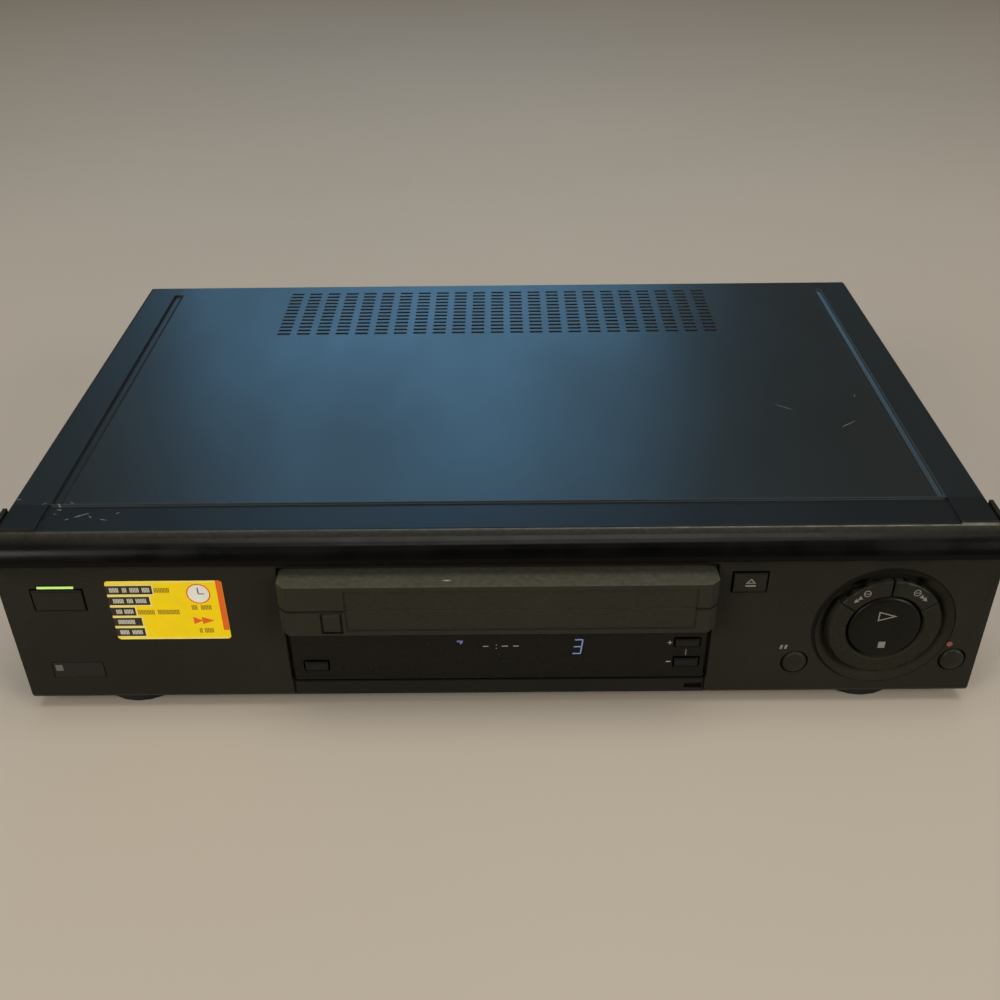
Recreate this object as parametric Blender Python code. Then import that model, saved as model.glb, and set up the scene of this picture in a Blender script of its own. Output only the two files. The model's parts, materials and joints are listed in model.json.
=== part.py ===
"""A front-loading video cassette recorder with a cassette standing out of its slot.

Metres, +Z up. Every piece is drawn in the recorder's face frame: X to the right, Y back
from the flat front face, Z up from that face's lower edge. One empty carries them all, so
that the finished recorder stands on Z 0 with the middle of its footprint over the origin.
"""

import math

import bmesh
import bpy
from mathutils import Matrix, Vector

# Fits, shared by all pieces
FIT = 0.0003
LOOSE = 0.0006
OVERRUN = 0.002
BITE = 0.0004
COARSE = 10
ROUND = 20
FINE = 36

# Overall sizes
PANEL_WIDTH = 0.430
FACE_HEIGHT = 0.084
BODY_DEPTH = 0.285
STAND_HEIGHT = 0.0085

# Top cover, one bent sheet with pressed grooves and punched vents
COVER_INSET = 0.0022
COVER_SHEET = 0.001
COVER_FRONT = 0.0288
COVER_BEND = 0.0018
COVER_HEM = 0.002
VENT_COLUMNS = 23
VENT_ROWS = 13
VENT_PITCH_ACROSS = 0.01095
VENT_PITCH_BACK = 0.005
VENT_LENGTH = 0.007
VENT_WIDTH = 0.0022
VENT_MARGIN = 0.0116
GROOVE_WIDTH = 0.004
GROOVE_DEPTH = 0.0009
GROOVE_INSET = 0.0198
GROOVE_FRONT_MARGIN = 0.0003
GROOVE_BACK_MARGIN = 0.011
COVER_SCREW_SHARE = 0.526316
COVER_SCREW_HEIGHT = 0.0095
SCREW_HEAD_RADIUS = 0.0035
SCREW_HEAD_HEIGHT = 0.0016
SCREW_SHANK_RADIUS = 0.0015
SCREW_LENGTH = 0.006

# Front panel, one moulding with a rounded brow along its top
PANEL_WALL = 0.0025
PANEL_SIDE_WALL = 0.0018
PANEL_SIDE_DEPTH = 0.026
BROW_HEIGHT = 0.014
BROW_PROUD = 0.003
BROW_SETBACK = 0.0075
BAND_DROP = 0.001
BAND_INSET = 0.019
LIP_DROP = 0.002
LIP_SETBACK = 0.0012
BROW_STEPS = 8
BUTTON_FLANGE = 0.0012

# Slot and display moulding
SLOT_SIDE_GAP = 0.0009
SLOT_TOP_GAP = 0.0007
DISPLAY_SIDE_GAP = 0.0019
DISPLAY_TOP_GAP = 0.0018
SILL_DEPTH = 0.0215
SILL_THICKNESS = 0.0017
LEDGE_INSET = 0.0024
LEDGE_OUTSET = 0.0026
LEDGE_THICKNESS = 0.0015
TUBE_SHARE = 0.627
TUBE_MARGIN = 0.0065
TUBE_DEPTH = 0.006
TUBE_GAP = 0.003

# Keys in the display moulding: inset from its side edge, width and tallness, and how far up they are
SOURCE_KEY_SPOT = (0.0103, 0.0104, 0.0049)
SOURCE_KEY_RISE = 0.0082
CHANNEL_UP_SPOT = (0.0083, 0.0108, 0.0042)
CHANNEL_DOWN_SPOT = (0.0081, 0.0108, 0.0046)
CHANNEL_RISE_SHARES = (0.61875, 0.275)
KEY_PROUD = 0.0008
KEY_DEPTH = 0.0045
KEY_TRAVEL = 0.0006
BUTTON_TRAVEL = 0.0012
SWITCH_PLUNGER = 0.0012
SWITCH_SIZE = 0.006

# Buttons, lamp and sensor window: inset from the panel's edge or the slot's, drop from the brow
# or for the sensor height over the lower edge, width and tallness
POWER_KEY_SPOT = (0.0248, 0.0167, 0.0220, 0.0106)
LAMP_SPOT = (0.0246, 0.0101, 0.0156, 0.0016)
SENSOR_SPOT = (0.0248, 0.0144, 0.0229, 0.0082)
EJECT_KEY_SPOT = (0.0137, 0.0102, 0.0146, 0.0099)
KEY_RADIUS = 0.0006
KEY_GAP = 0.0006
BIG_KEY_PROUD = 0.0006
BIG_KEY_DEPTH = 0.0065
LAMP_DEPTH = 0.008
SENSOR_DEPTH = 0.002
PAUSE_ANGLE = math.radians(206.81)
PAUSE_GAP = 0.0039
RECORD_ANGLE = math.radians(-28.31)
RECORD_GAP = 0.0004
ROUND_KEY_RADIUS = 0.0055
ROUND_KEY_GAP = 0.0007
ROUND_KEY_PROUD = 0.0008
ROUND_KEY_CROWN = 0.0006
CROWN_SHARE = 0.8
ROUND_KEY_FLANGE = 0.0011

# Round control group
DIAL_INSET = 0.0140
DISH_LOW_GAP = 0.0040
DISH_HIGH_GAP = 0.0050
DISH_SLOPE = 0.0045
DISH_DEPTH = 0.0042
DISH_WALL = 0.0016
DISH_FLANGE = 0.0007
RING_CLEARANCE = 0.0012
RING_WIDTH = 0.0079
RING_PROUD = 0.0004
RING_CROWN = 0.0006
RING_GAP_ANGLE = math.radians(1.1)
RING_SPLIT_ANGLE = math.radians(31.5)
SEGMENT_FLOAT = 0.0013
SEGMENT_STEM_RADIUS = 0.0018
SEGMENT_STEM_END = 0.0095
ROCKER_GAP = 0.0011
ROCKER_PROUD = 0.0008
ROCKER_THICKNESS = 0.0042
ROCKER_CROWN = 0.0012
HOLLOW_SHARES = (0.333, 0.25)
ROCKER_EAR_THICKNESS = 0.0014
ROCKER_EAR_WIDTH = 0.0036
ROCKER_EAR_SPREAD = 0.0050
ROCKER_PIN_RADIUS = 0.0011
ROCKER_PIN_OVERHANG = 0.0015

# Pull-down flap over the front inputs
FLAP_SIDE_GAP = 0.0008
FLAP_TOP = 0.0071
FLAP_THICKNESS = 0.0019
FLAP_PIN_RADIUS = 0.0005
FLAP_AXIS_DEPTH = 0.00155
FLAP_PIN_LENGTH = 0.0016
FLAP_PIN_RISE = 0.0012
NOTCH_WIDTH = 0.0079
NOTCH_INSET = 0.0009
NOTCH_LOW = 0.0007
NOTCH_HIGH = 0.0039
NOTCH_DEPTH = 0.0012
FRONT_JACK_INSET = 0.0196
FRONT_JACK_PITCH = 0.014
FRONT_JACK_COUNT = 3
FRONT_JACK_HEIGHT = 0.0034
JACK_RADIUS = 0.00415
JACK_BORE = 0.0016
JACK_LENGTH = 0.0068
FRONT_JACK_BLOCK_DEPTH = 0.010
FRONT_JACK_BLOCK_TOP = 0.0088

# Feet
FOOT_RADIUS = 0.020
FOOT_TAPER = 0.0015
FOOT_RECESS_RADIUS = 0.008
FOOT_RECESS_DEPTH = 0.003
FOOT_INSET = 0.0425
FOOT_BACK_MARGIN = 0.040

# Chassis
BASE_RISE = 0.0003
BASE_SHEET = 0.0012
BASE_FLANGE = 0.014
BASE_VENT_PLACES = (0.110, 0.145, 0.180)
BASE_VENT_COLUMNS = 5
BASE_VENT_PITCH = 0.009
BASE_VENT_LENGTH = 0.022
BASE_VENT_WIDTH = 0.003
BASE_VENT_MARGIN = 0.024
REAR_SETBACK = 0.0018
REAR_SHEET = 0.0012

# Tape mechanism deck and its posts
DECK_RISE = 0.013
DECK_SHEET = 0.0012
DECK_MARGIN = 0.0009
DECK_FRONT = 0.030
DECK_BACK_GAP = 0.0155
DECK_LEG_WIDTH = 0.012
DECK_LEG_FRONT_INSET = 0.0160
DECK_LEG_BACK_INSET = 0.0415
DECK_FOOT_REACH = 0.009
POST_RADIUS = 0.0018
REEL_PITCH = 0.092
REEL_SHARE = 0.354906
HUB_DEPTH = 0.0466
TABLE_RADIUS = 0.017
TABLE_RIM = 0.0045
TABLE_HUB_RADIUS = 0.0075
TABLE_HUB_HEIGHT = 0.0075
SPINDLE_RADIUS = 0.0050
SPINDLE_HEIGHT = 0.0225
SPINDLE_RIB_WIDTH = 0.0016
SPINDLE_RIB_REACH = 0.0016
IDLER_SHARE = 0.480167
IDLER_ARM_LENGTH = 0.0340
IDLER_RADIUS = 0.0140
IDLER_ARM_WIDTH = 0.009
IDLER_ARM_SHEET = 0.0012
IDLER_WHEEL_HEIGHT = 0.0030
IDLER_PIN_RADIUS = 0.0012

# Head drum, tilted on its base
DRUM_SHARE = 0.801670
DRUM_TILT = math.radians(5.9)
DRUM_RADIUS = 0.031
DRUM_FOOT_RADIUS = 0.016
DRUM_FOOT_HEIGHT = 0.0035
DRUM_NECK_RADIUS = 0.012
DRUM_LOWER_BOTTOM = 0.0050
DRUM_SPLIT = 0.0205
DRUM_TOP = 0.0370
DRUM_SHAFT_RADIUS = 0.002
DRUM_STEP = 0.0012
DRUM_CAP_RADIUS = 0.011
DRUM_CAP_HEIGHT = 0.003
HEAD_SLOT = 0.002
DRUM_FACETS = 28

# Guide sleds that draw the tape round the drum
SLED_START_ACROSS = 0.034
SLED_END_ACROSS = 0.042
SLED_SHARES = (0.534447, 0.768267)
SLED_WIDTH = 0.0110
SLED_LENGTH = 0.0130
SLED_HEIGHT = 0.0026
SLED_SLOT = 0.0040
SLED_FOOT_WIDTH = 0.0080
SLED_FOOT_HEIGHT = 0.0012
SLED_ROLLER_RADIUS = 0.0030
SLED_FLANGE_RADIUS = 0.0042
SLED_FLANGE_HEIGHT = 0.0010
SLED_POST_TOP = 0.0375

# Capstan, pinch roller and heads
CAPSTAN_ACROSS = 0.0620
CAPSTAN_SHARE = 0.693111
CAPSTAN_RADIUS = 0.0020
CAPSTAN_TOP = 0.0390
FLYWHEEL_RADIUS = 0.0240
FLYWHEEL_BOTTOM = 0.0032
FLYWHEEL_HEIGHT = 0.0050
FLYWHEEL_RIM = 0.0040
BEARING_RADIUS = 0.0045
BEARING_HEIGHT = 0.0060
BEARING_DROP = 0.0040
PINCH_PIVOT_ACROSS = 0.0900
PINCH_ROLLER_ACROSS = 0.0673
PINCH_SHARES = (0.626305, 0.595825)
PINCH_ROLLER_RADIUS = 0.0080
PINCH_ROLLER_BOTTOM = 0.0235
PINCH_ROLLER_TOP = 0.0365
PINCH_ARM_WIDTH = 0.0080
PINCH_ARM_RISE = 0.0200
PINCH_ARM_SHEET = 0.0020
PINCH_AXLE_RADIUS = 0.0013
AUDIO_HEAD_ACROSS = 0.0580
AUDIO_HEAD_SIZE = (0.0110, 0.0090, 0.0150)
ERASE_HEAD_ACROSS = -0.0570
HEAD_SHARES = (0.787056, 0.693111)
ERASE_HEAD_SIZE = (0.0090, 0.0080, 0.0140)
HEAD_RISE = 0.0210
HEAD_BASE_HEIGHT = 0.0016
HEAD_BASE_MARGIN = 0.0020

# Loading drive: a motor, its pinion and the cam gear
CAM_ACROSS = 0.0820
CAM_BACK_GAP = 0.0345
GEAR_MODULE = 0.0010
CAM_TEETH = 34
PINION_TEETH = 10
CAM_HEIGHT = 0.0035
CAM_RISE = 0.0160
CAM_TRACK_RADIUS = 0.0105
CAM_TRACK_WIDTH = 0.0022
CAM_TRACK_DEPTH = 0.0015
PINION_ANGLE = math.radians(75.0)
PINION_HEIGHT = 0.0045
TOOTH_ROOT_SHARE = 0.66
TOOTH_TIP_SHARE = 0.26
TOOTH_BACKLASH = 0.00025
MOTOR_RADIUS = 0.0100
MOTOR_SHAFT_RADIUS = 0.0010

# Cassette and the basket that carries it
CASSETTE_WIDTH = 0.187
CASSETTE_DEPTH = 0.103
CASSETTE_HEIGHT = 0.025
CASSETTE_PROUD = 0.0116
CASSETTE_TOP_GAP = 0.0028
CASSETTE_WALL = 0.0018
CASSETTE_CORNER = 0.0036
CASSETTE_SPLIT = 0.0126
LABEL_LEFT = -0.0650
LABEL_RIGHT = 0.0845
LABEL_MARGIN = 0.0022
LABEL_DEPTH = 0.0006
TAB_LEFT = -0.0758
TAB_WIDTH = 0.0094
TAB_HEIGHT = 0.0106
TAB_GROOVE = 0.0011
TAB_DEPTH = 0.0012
LID_PIVOT_BACK = 0.0910
LID_PIVOT_RISE = 0.0218
LID_THICKNESS = 0.0016
LID_SWEEP_GAP = 0.0004
LID_STRIP_SETBACK = 0.0040
SHELL_NECK_REACH = 0.0024
LID_CHEEK_DEPTH = 0.0070
LID_CHEEK_HEIGHT = 0.0160
LID_CHEEK = 0.0018
LID_PIN_RADIUS = 0.0010
LID_PIN_LENGTH = 0.0012
LID_HEM = 0.0006
GUIDE_POST_RADIUS = 0.0025
GUIDE_POST_INSET = 0.0060
REEL_HOLE_RADIUS = 0.0130
REEL_HUB_RADIUS = 0.0125
REEL_FLANGE_RADIUS = 0.0380
REEL_FLANGE = 0.0012
REEL_TOOTH_BORE = 0.0085
REEL_TEETH = 6
REEL_TOOTH_REACH = 0.0016
REEL_TOOTH_WIDTH = 0.0020
SUPPLY_PACK_RADIUS = 0.0355
TAKE_UP_PACK_RADIUS = 0.0200
TAPE_WIDTH = 0.0127
BASKET_SHEET = 0.0010
BASKET_FRONT = 0.0260
BASKET_BACK = 0.0935
BASKET_FLANGE = 0.0120
BASKET_FLANGE_FRONT = 0.0320
BASKET_FLANGE_BACK = 0.0700
BASKET_WINDOW_RADIUS = 0.0200
BASKET_PIN_RADIUS = 0.0015
BASKET_PIN_PLACES = (0.0360, 0.0860)
BASKET_PIN_RISES = (0.0065, 0.0165)
BASKET_PIN_LENGTH = 0.0036
GUIDE_GAP = 0.0011
GUIDE_SHEET = 0.0012
GUIDE_FRONT = 0.0310
GUIDE_BACK_MARGIN = 0.0100
GUIDE_TOP_GAP = 0.0007
GUIDE_FOOT = 0.0060
GUIDE_BRIDGE_FRONT = 0.1180
GUIDE_BRIDGE_BACK = 0.1480
GUIDE_SLOT_GAP = 0.0004
CASSETTE_SEAT = 0.0073

# Door behind the slot, swung up over the cassette
DOOR_THICKNESS = 0.0016
DOOR_DEPTH = 0.0260
DOOR_SIDE_GAP = 0.0006
DOOR_PIN_SHARE = 0.75
DOOR_PIN_RADIUS = 0.0007
DOOR_PIN_LENGTH = 0.0022
DOOR_EAR_THICKNESS = 0.0030
DOOR_EAR_DEPTH = 0.0050
DOOR_EAR_HEIGHT = 0.0060

# Boards and modules in the side bays
BOARD_SHEET = 0.0016
BOARD_RISE = 0.0075
BOARD_SIDE_GAP = 0.0055
BOARD_LEG_RADIUS = 0.0020
CHIP_HEIGHT = 0.0035
MAIN_CHIPS = ((0.020, 0.022, 0.022), (0.050, 0.030, 0.012), (0.015, 0.018, 0.030))
MAIN_CHIP_SHARES = (0.171429, 0.4, 0.628571)
MAIN_CANS = ((0.070, 0.004, 0.012), (0.075, 0.003, 0.009))
MAIN_CAN_SHARES = (0.171429, 0.8)
HEAT_SINK_HEIGHT = 0.028
HEAT_SINKS = ((0.008, 0.003, 0.035),)
HEAT_SINK_SHARES = (0.096774,)
POWER_CANS = ((0.065, 0.009, 0.030), (0.035, 0.006, 0.020))
POWER_CAN_SHARES = (0.161290, 0.120968)
MAIN_BOARD_WIDTH = 0.0930
MAIN_BOARD_FRONT = 0.0400
MAIN_BOARD_BACK_GAP = 0.0700
POWER_BOARD_WIDTH = 0.0900
POWER_BOARD_SHARE = 0.526316
POWER_BOARD_BACK_GAP = 0.0110
TRANSFORMER_SIZE = (0.0420, 0.0360, 0.0340)
TRANSFORMER_SHARE = 0.483871
CORE_SHARE = 0.5
TUNER_WIDTH = 0.0620
TUNER_DEPTH = 0.0500
TUNER_HEIGHT = 0.0240
TUNER_SIDE_GAP = 0.0200
TUNER_RISE = 0.0200
AERIAL_RADIUS = 0.0048
AERIAL_BORE = 0.0012
AERIAL_LENGTH = 0.0100
AERIAL_SPREAD = 0.0120
REAR_JACK_COLUMNS = 4
REAR_JACK_ROWS = 2
REAR_JACK_PITCH = 0.0140
REAR_JACK_ACROSS = -0.0600
REAR_JACK_HEIGHT = 0.0280
REAR_JACK_BLOCK_DEPTH = 0.0100
REAR_JACK_MARGIN = 0.0080
REAR_JACK_PROUD = 0.0070
GLAND_INSET = 0.0365
GLAND_HEIGHT = 0.0240
GLAND_RADIUS = 0.0070
GLAND_BORE = 0.0036
GLAND_FLANGE_RADIUS = 0.0090
GLAND_FLANGE = 0.0015
GLAND_DEPTH = 0.0080
CONTROL_BOARD_SETBACK = 0.0140
LED_SIZE = 0.0030
CONTROL_BOARD_MARGIN = 0.0060
PANEL_POST_RADIUS = 0.0020

# Sizes that follow from the ones above
COVER_HALF = PANEL_WIDTH / 2 - COVER_INSET
PANEL_HALF = PANEL_WIDTH / 2
COVER_SCREW_PLACE = BODY_DEPTH * COVER_SCREW_SHARE
BASE_TOP = BASE_RISE + BASE_SHEET
BASE_HALF = COVER_HALF - COVER_SHEET - FIT
FOOT_ACROSS = BASE_HALF - FOOT_INSET
GLAND_PLACE = (BASE_HALF - GLAND_INSET, GLAND_HEIGHT)
BROW_BASE = FACE_HEIGHT - BROW_HEIGHT
SLOT_TOP = BROW_BASE - SLOT_TOP_GAP
CASSETTE_RISE = SLOT_TOP - CASSETTE_TOP_GAP - CASSETTE_HEIGHT
DISPLAY_BOTTOM = FLAP_TOP + LOOSE
DISPLAY_TOP = CASSETTE_RISE - DISPLAY_TOP_GAP
TUBE_HEIGHT = DISPLAY_TOP - DISPLAY_BOTTOM - 2 * TUBE_MARGIN
DISH_RADIUS = (BROW_BASE - DISH_LOW_GAP - DISH_HIGH_GAP) / 2
DISH_FLOOR_RADIUS = DISH_RADIUS - DISH_SLOPE
RING_OUTER = DISH_FLOOR_RADIUS - RING_CLEARANCE
RING_INNER = RING_OUTER - RING_WIDTH
ROCKER_RADIUS = RING_INNER - ROCKER_GAP
DIAL_PLACE = (PANEL_HALF - DIAL_INSET - DISH_RADIUS, DISH_LOW_GAP + DISH_RADIUS)
BUTTON_REACH = DISH_RADIUS + DISH_FLANGE + ROUND_KEY_RADIUS + ROUND_KEY_FLANGE
PAUSE_PLACE = (DIAL_PLACE[0] + (BUTTON_REACH + PAUSE_GAP) * math.cos(PAUSE_ANGLE),
               DIAL_PLACE[1] + (BUTTON_REACH + PAUSE_GAP) * math.sin(PAUSE_ANGLE))
RECORD_PLACE = (DIAL_PLACE[0] + (BUTTON_REACH + RECORD_GAP) * math.cos(RECORD_ANGLE),
                DIAL_PLACE[1] + (BUTTON_REACH + RECORD_GAP) * math.sin(RECORD_ANGLE))
POWER_KEY = (POWER_KEY_SPOT[0] - PANEL_HALF, BROW_BASE - POWER_KEY_SPOT[1], *POWER_KEY_SPOT[2:])
LAMP = (LAMP_SPOT[0] - PANEL_HALF, BROW_BASE - LAMP_SPOT[1], *LAMP_SPOT[2:])
SENSOR = (SENSOR_SPOT[0] - PANEL_HALF, *SENSOR_SPOT[1:])
BASE_FRONT = PANEL_WALL + FIT
REAR_PANEL_BACK = BODY_DEPTH - REAR_SETBACK
REAR_PANEL_FRONT = REAR_PANEL_BACK - REAR_SHEET
DECK_BACK = BODY_DEPTH - DECK_BACK_GAP
DECK_LENGTH = DECK_BACK - DECK_FRONT
DECK_TOP = DECK_RISE + DECK_SHEET
DECK_LEG_PLACES = (DECK_FRONT + DECK_LEG_FRONT_INSET, DECK_BACK - DECK_LEG_BACK_INSET)
REEL_PLACE = DECK_FRONT + REEL_SHARE * DECK_LENGTH
IDLER_PIVOT_PLACE = DECK_FRONT + IDLER_SHARE * DECK_LENGTH
DRUM_PLACE = (0.0, DECK_FRONT + DRUM_SHARE * DECK_LENGTH)
SLED_START = (SLED_START_ACROSS, DECK_FRONT + SLED_SHARES[0] * DECK_LENGTH)
SLED_END = (SLED_END_ACROSS, DECK_FRONT + SLED_SHARES[1] * DECK_LENGTH)
CAPSTAN_PLACE = (CAPSTAN_ACROSS, DECK_FRONT + CAPSTAN_SHARE * DECK_LENGTH)
PINCH_PIVOT_PLACE = (PINCH_PIVOT_ACROSS, DECK_FRONT + PINCH_SHARES[0] * DECK_LENGTH)
PINCH_ROLLER_PLACE = (PINCH_ROLLER_ACROSS, DECK_FRONT + PINCH_SHARES[1] * DECK_LENGTH)
AUDIO_HEAD_PLACE = (AUDIO_HEAD_ACROSS, DECK_FRONT + HEAD_SHARES[0] * DECK_LENGTH)
ERASE_HEAD_PLACE = (ERASE_HEAD_ACROSS, DECK_FRONT + HEAD_SHARES[1] * DECK_LENGTH)
CAM_PLACE = (CAM_ACROSS, DECK_BACK - CAM_BACK_GAP)
MAIN_BOARD_BACK = BODY_DEPTH - MAIN_BOARD_BACK_GAP
POWER_BOARD_FRONT = BODY_DEPTH * POWER_BOARD_SHARE
POWER_BOARD_BACK = BODY_DEPTH - POWER_BOARD_BACK_GAP
TRANSFORMER_PLACE = POWER_BOARD_FRONT + TRANSFORMER_SHARE * (POWER_BOARD_BACK - POWER_BOARD_FRONT)
REEL_HALF = REEL_PITCH / 2
CASSETTE_HALF = CASSETTE_WIDTH / 2
SLOT_HALF = CASSETTE_HALF + SLOT_SIDE_GAP
DISPLAY_HALF = SLOT_HALF - DISPLAY_SIDE_GAP
FLAP_HALF = SLOT_HALF - FLAP_SIDE_GAP
TUBE_HALF = DISPLAY_HALF * TUBE_SHARE
CHANNEL_UP_RISE, CHANNEL_DOWN_RISE = (
    DISPLAY_BOTTOM + share * (DISPLAY_TOP - DISPLAY_BOTTOM) for share in CHANNEL_RISE_SHARES)
SOURCE_KEY = (SOURCE_KEY_SPOT[0] - DISPLAY_HALF, DISPLAY_BOTTOM + SOURCE_KEY_RISE, *SOURCE_KEY_SPOT[1:])
CHANNEL_UP_KEY = (DISPLAY_HALF - CHANNEL_UP_SPOT[0], CHANNEL_UP_RISE, *CHANNEL_UP_SPOT[1:])
CHANNEL_DOWN_KEY = (DISPLAY_HALF - CHANNEL_DOWN_SPOT[0], CHANNEL_DOWN_RISE, *CHANNEL_DOWN_SPOT[1:])
EJECT_KEY = (SLOT_HALF + EJECT_KEY_SPOT[0], BROW_BASE - EJECT_KEY_SPOT[1], *EJECT_KEY_SPOT[2:])
CASSETTE_FRONT = -CASSETTE_PROUD
CASSETTE_BACK = CASSETTE_FRONT + CASSETTE_DEPTH
CASSETTE_TOP = CASSETTE_RISE + CASSETTE_HEIGHT
BASKET_FLOOR_TOP = CASSETTE_RISE - FIT
BASKET_INNER = CASSETTE_HALF + FIT
BASKET_OUTER = BASKET_INNER + BASKET_SHEET
GUIDE_INNER = BASKET_OUTER + GUIDE_GAP
GUIDE_OUTER = GUIDE_INNER + GUIDE_SHEET
DECK_HALF = GUIDE_OUTER + GUIDE_FOOT + DECK_MARGIN
FRONT_JACK_SETBACK = PANEL_WALL + LEDGE_THICKNESS + 2 * FIT
FRONT_BOARD_SETBACK = PANEL_WALL + TUBE_GAP + TUBE_DEPTH + FIT
HUB_BACK = CASSETTE_FRONT + HUB_DEPTH
BASKET_TRAVEL = REEL_PLACE - HUB_BACK
BASKET_FRONT_PIN, BASKET_REAR_PIN = (
    (back, CASSETTE_RISE + rise) for back, rise in zip(BASKET_PIN_PLACES, BASKET_PIN_RISES))
GUIDE_BACK = BASKET_REAR_PIN[0] + BASKET_TRAVEL + GUIDE_BACK_MARGIN
GUIDE_TOP = SLOT_TOP + GUIDE_TOP_GAP
GUIDE_DROP = CASSETTE_RISE - DECK_TOP - CASSETTE_SEAT
LID_PIVOT = (CASSETTE_FRONT + LID_PIVOT_BACK, CASSETTE_RISE + LID_PIVOT_RISE)
LID_RADIUS = CASSETTE_HEIGHT - LID_PIVOT_RISE
REAR_REACH = REAR_PANEL_BACK + AERIAL_LENGTH
FACE_PLACE = -(REAR_REACH - CASSETTE_PROUD) / 2


def material(name, colour, roughness, metallic=0.0):
    """Returns a plain finish for one piece."""
    finish = bpy.data.materials.new(name)
    finish.use_nodes = True
    shader = finish.node_tree.nodes["Principled BSDF"]
    shader.inputs["Base Color"].default_value = (*colour, 1.0)
    shader.inputs["Roughness"].default_value = roughness
    shader.inputs["Metallic"].default_value = metallic
    finish.diffuse_color = (*colour, 1.0)
    return finish


FINISHES = {
    "panel plastic": ((0.018, 0.018, 0.017), 0.55, 0.0),
    "gloss plastic": ((0.010, 0.010, 0.011), 0.20, 0.0),
    "key plastic": ((0.022, 0.022, 0.021), 0.45, 0.0),
    "painted steel": ((0.014, 0.017, 0.022), 0.38, 0.4),
    "plated steel": ((0.52, 0.53, 0.54), 0.35, 1.0),
    "brushed aluminium": ((0.70, 0.71, 0.72), 0.28, 1.0),
    "brass": ((0.62, 0.45, 0.18), 0.35, 1.0),
    "rubber": ((0.020, 0.020, 0.020), 0.85, 0.0),
    "board laminate": ((0.10, 0.16, 0.05), 0.55, 0.0),
    "brown laminate": ((0.30, 0.20, 0.09), 0.55, 0.0),
    "cassette plastic": ((0.035, 0.035, 0.030), 0.42, 0.0),
    "reel plastic": ((0.75, 0.75, 0.72), 0.40, 0.0),
    "tape": ((0.050, 0.030, 0.022), 0.30, 0.0),
    "gear plastic": ((0.80, 0.78, 0.70), 0.45, 0.0),
    "lamp green": ((0.10, 0.75, 0.20), 0.25, 0.0),
    "dark glass": ((0.012, 0.008, 0.010), 0.10, 0.0),
    "display glass": ((0.05, 0.07, 0.07), 0.12, 0.0),
    "jack plastic": ((0.03, 0.03, 0.03), 0.50, 0.0),
}


# Outlines

def rectangle(left, right, low, high):
    """Returns the four corners of a rectangle, running anticlockwise."""
    return [(left, low), (right, low), (right, high), (left, high)]


def middle_rectangle(across, up, width, height):
    """Returns a rectangle about its middle."""
    return rectangle(across - width / 2, across + width / 2, up - height / 2, up + height / 2)


def arc(centre, radius, start, end, steps):
    """Returns points along an arc, both ends included."""
    angles = [start + (end - start) * step / steps for step in range(steps + 1)]
    return [(centre[0] + radius * math.cos(a), centre[1] + radius * math.sin(a)) for a in angles]


def circle(centre, radius, facets):
    """Returns the points of a closed circle."""
    return arc(centre, radius, 0, 2 * math.pi, facets)[:-1]


def rounded_rectangle(left, right, low, high, radius, steps=2):
    """Returns a rectangle with rounded corners."""
    quarter = math.pi / 2
    corners = [((right - radius, high - radius), 0), ((left + radius, high - radius), 1),
               ((left + radius, low + radius), 2), ((right - radius, low + radius), 3)]
    return [point for centre, turn in corners
            for point in arc(centre, radius, turn * quarter, (turn + 1) * quarter, steps)]


def stadium(start, end, half_width, steps=4):
    """Returns the outline of a slot with round ends between two points."""
    heading = math.atan2(end[1] - start[1], end[0] - start[0])
    quarter = math.pi / 2
    return (arc(end, half_width, heading - quarter, heading + quarter, steps)
            + arc(start, half_width, heading + quarter, heading + 3 * quarter, steps))


def gear(centre, teeth, turn):
    """Returns the outline of a spur gear whose first tooth points along turn."""
    pitch_radius = GEAR_MODULE * teeth / 2
    tip = pitch_radius + GEAR_MODULE
    root = pitch_radius - 1.25 * GEAR_MODULE
    step = 2 * math.pi / teeth
    slack = TOOTH_BACKLASH / pitch_radius
    outline = []
    for tooth in range(teeth):
        middle = turn + tooth * step
        for radius, share, side in ((root, TOOTH_ROOT_SHARE, -1), (tip, TOOTH_TIP_SHARE, -1),
                                    (tip, TOOTH_TIP_SHARE, 1), (root, TOOTH_ROOT_SHARE, 1)):
            angle = middle + side * (share * step - slack) / 2
            outline.append((centre[0] + radius * math.cos(angle), centre[1] + radius * math.sin(angle)))
    return outline


# Solids

def along(axis, point, depth):
    """Places a point of an outline at a depth along an axis."""
    if axis == "X":
        return Vector((depth, point[0], point[1]))
    if axis == "Y":
        return Vector((point[0], depth, point[1]))
    return Vector((point[0], point[1], depth))


def outward(shape):
    """Turns the faces of a closed shape outwards."""
    bmesh.ops.recalc_face_normals(shape, faces=shape.faces)
    if shape.calc_volume(signed=True) < 0:
        bmesh.ops.reverse_faces(shape, faces=shape.faces)
    return shape


def prism(axis, start, end, outline, *holes):
    """Extrudes an outline, with holes, from start to end along an axis."""
    shape = bmesh.new()
    edges = []
    for loop in (outline, *holes):
        corners = [shape.verts.new(along(axis, point, start)) for point in loop]
        edges += [shape.edges.new((corners[i - 1], corners[i])) for i in range(len(corners))]
    if holes:
        bmesh.ops.triangle_fill(shape, use_beauty=True, use_dissolve=False, edges=edges)
    else:
        shape.faces.new(shape.verts)
    grown = bmesh.ops.extrude_face_region(shape, geom=list(shape.faces), use_keep_orig=True)
    moved = [item for item in grown["geom"] if isinstance(item, bmesh.types.BMVert)]
    bmesh.ops.translate(shape, verts=moved, vec=along(axis, (0, 0), end - start))
    return outward(shape)


def block(left, right, front, back, low, high):
    """Makes a rectangular block."""
    return prism("Z", low, high, rectangle(left, right, front, back))


def rod(axis, start, end, centre, radius, facets=ROUND):
    """Makes a round rod along an axis."""
    return prism(axis, start, end, circle(centre, radius, facets))


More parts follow.
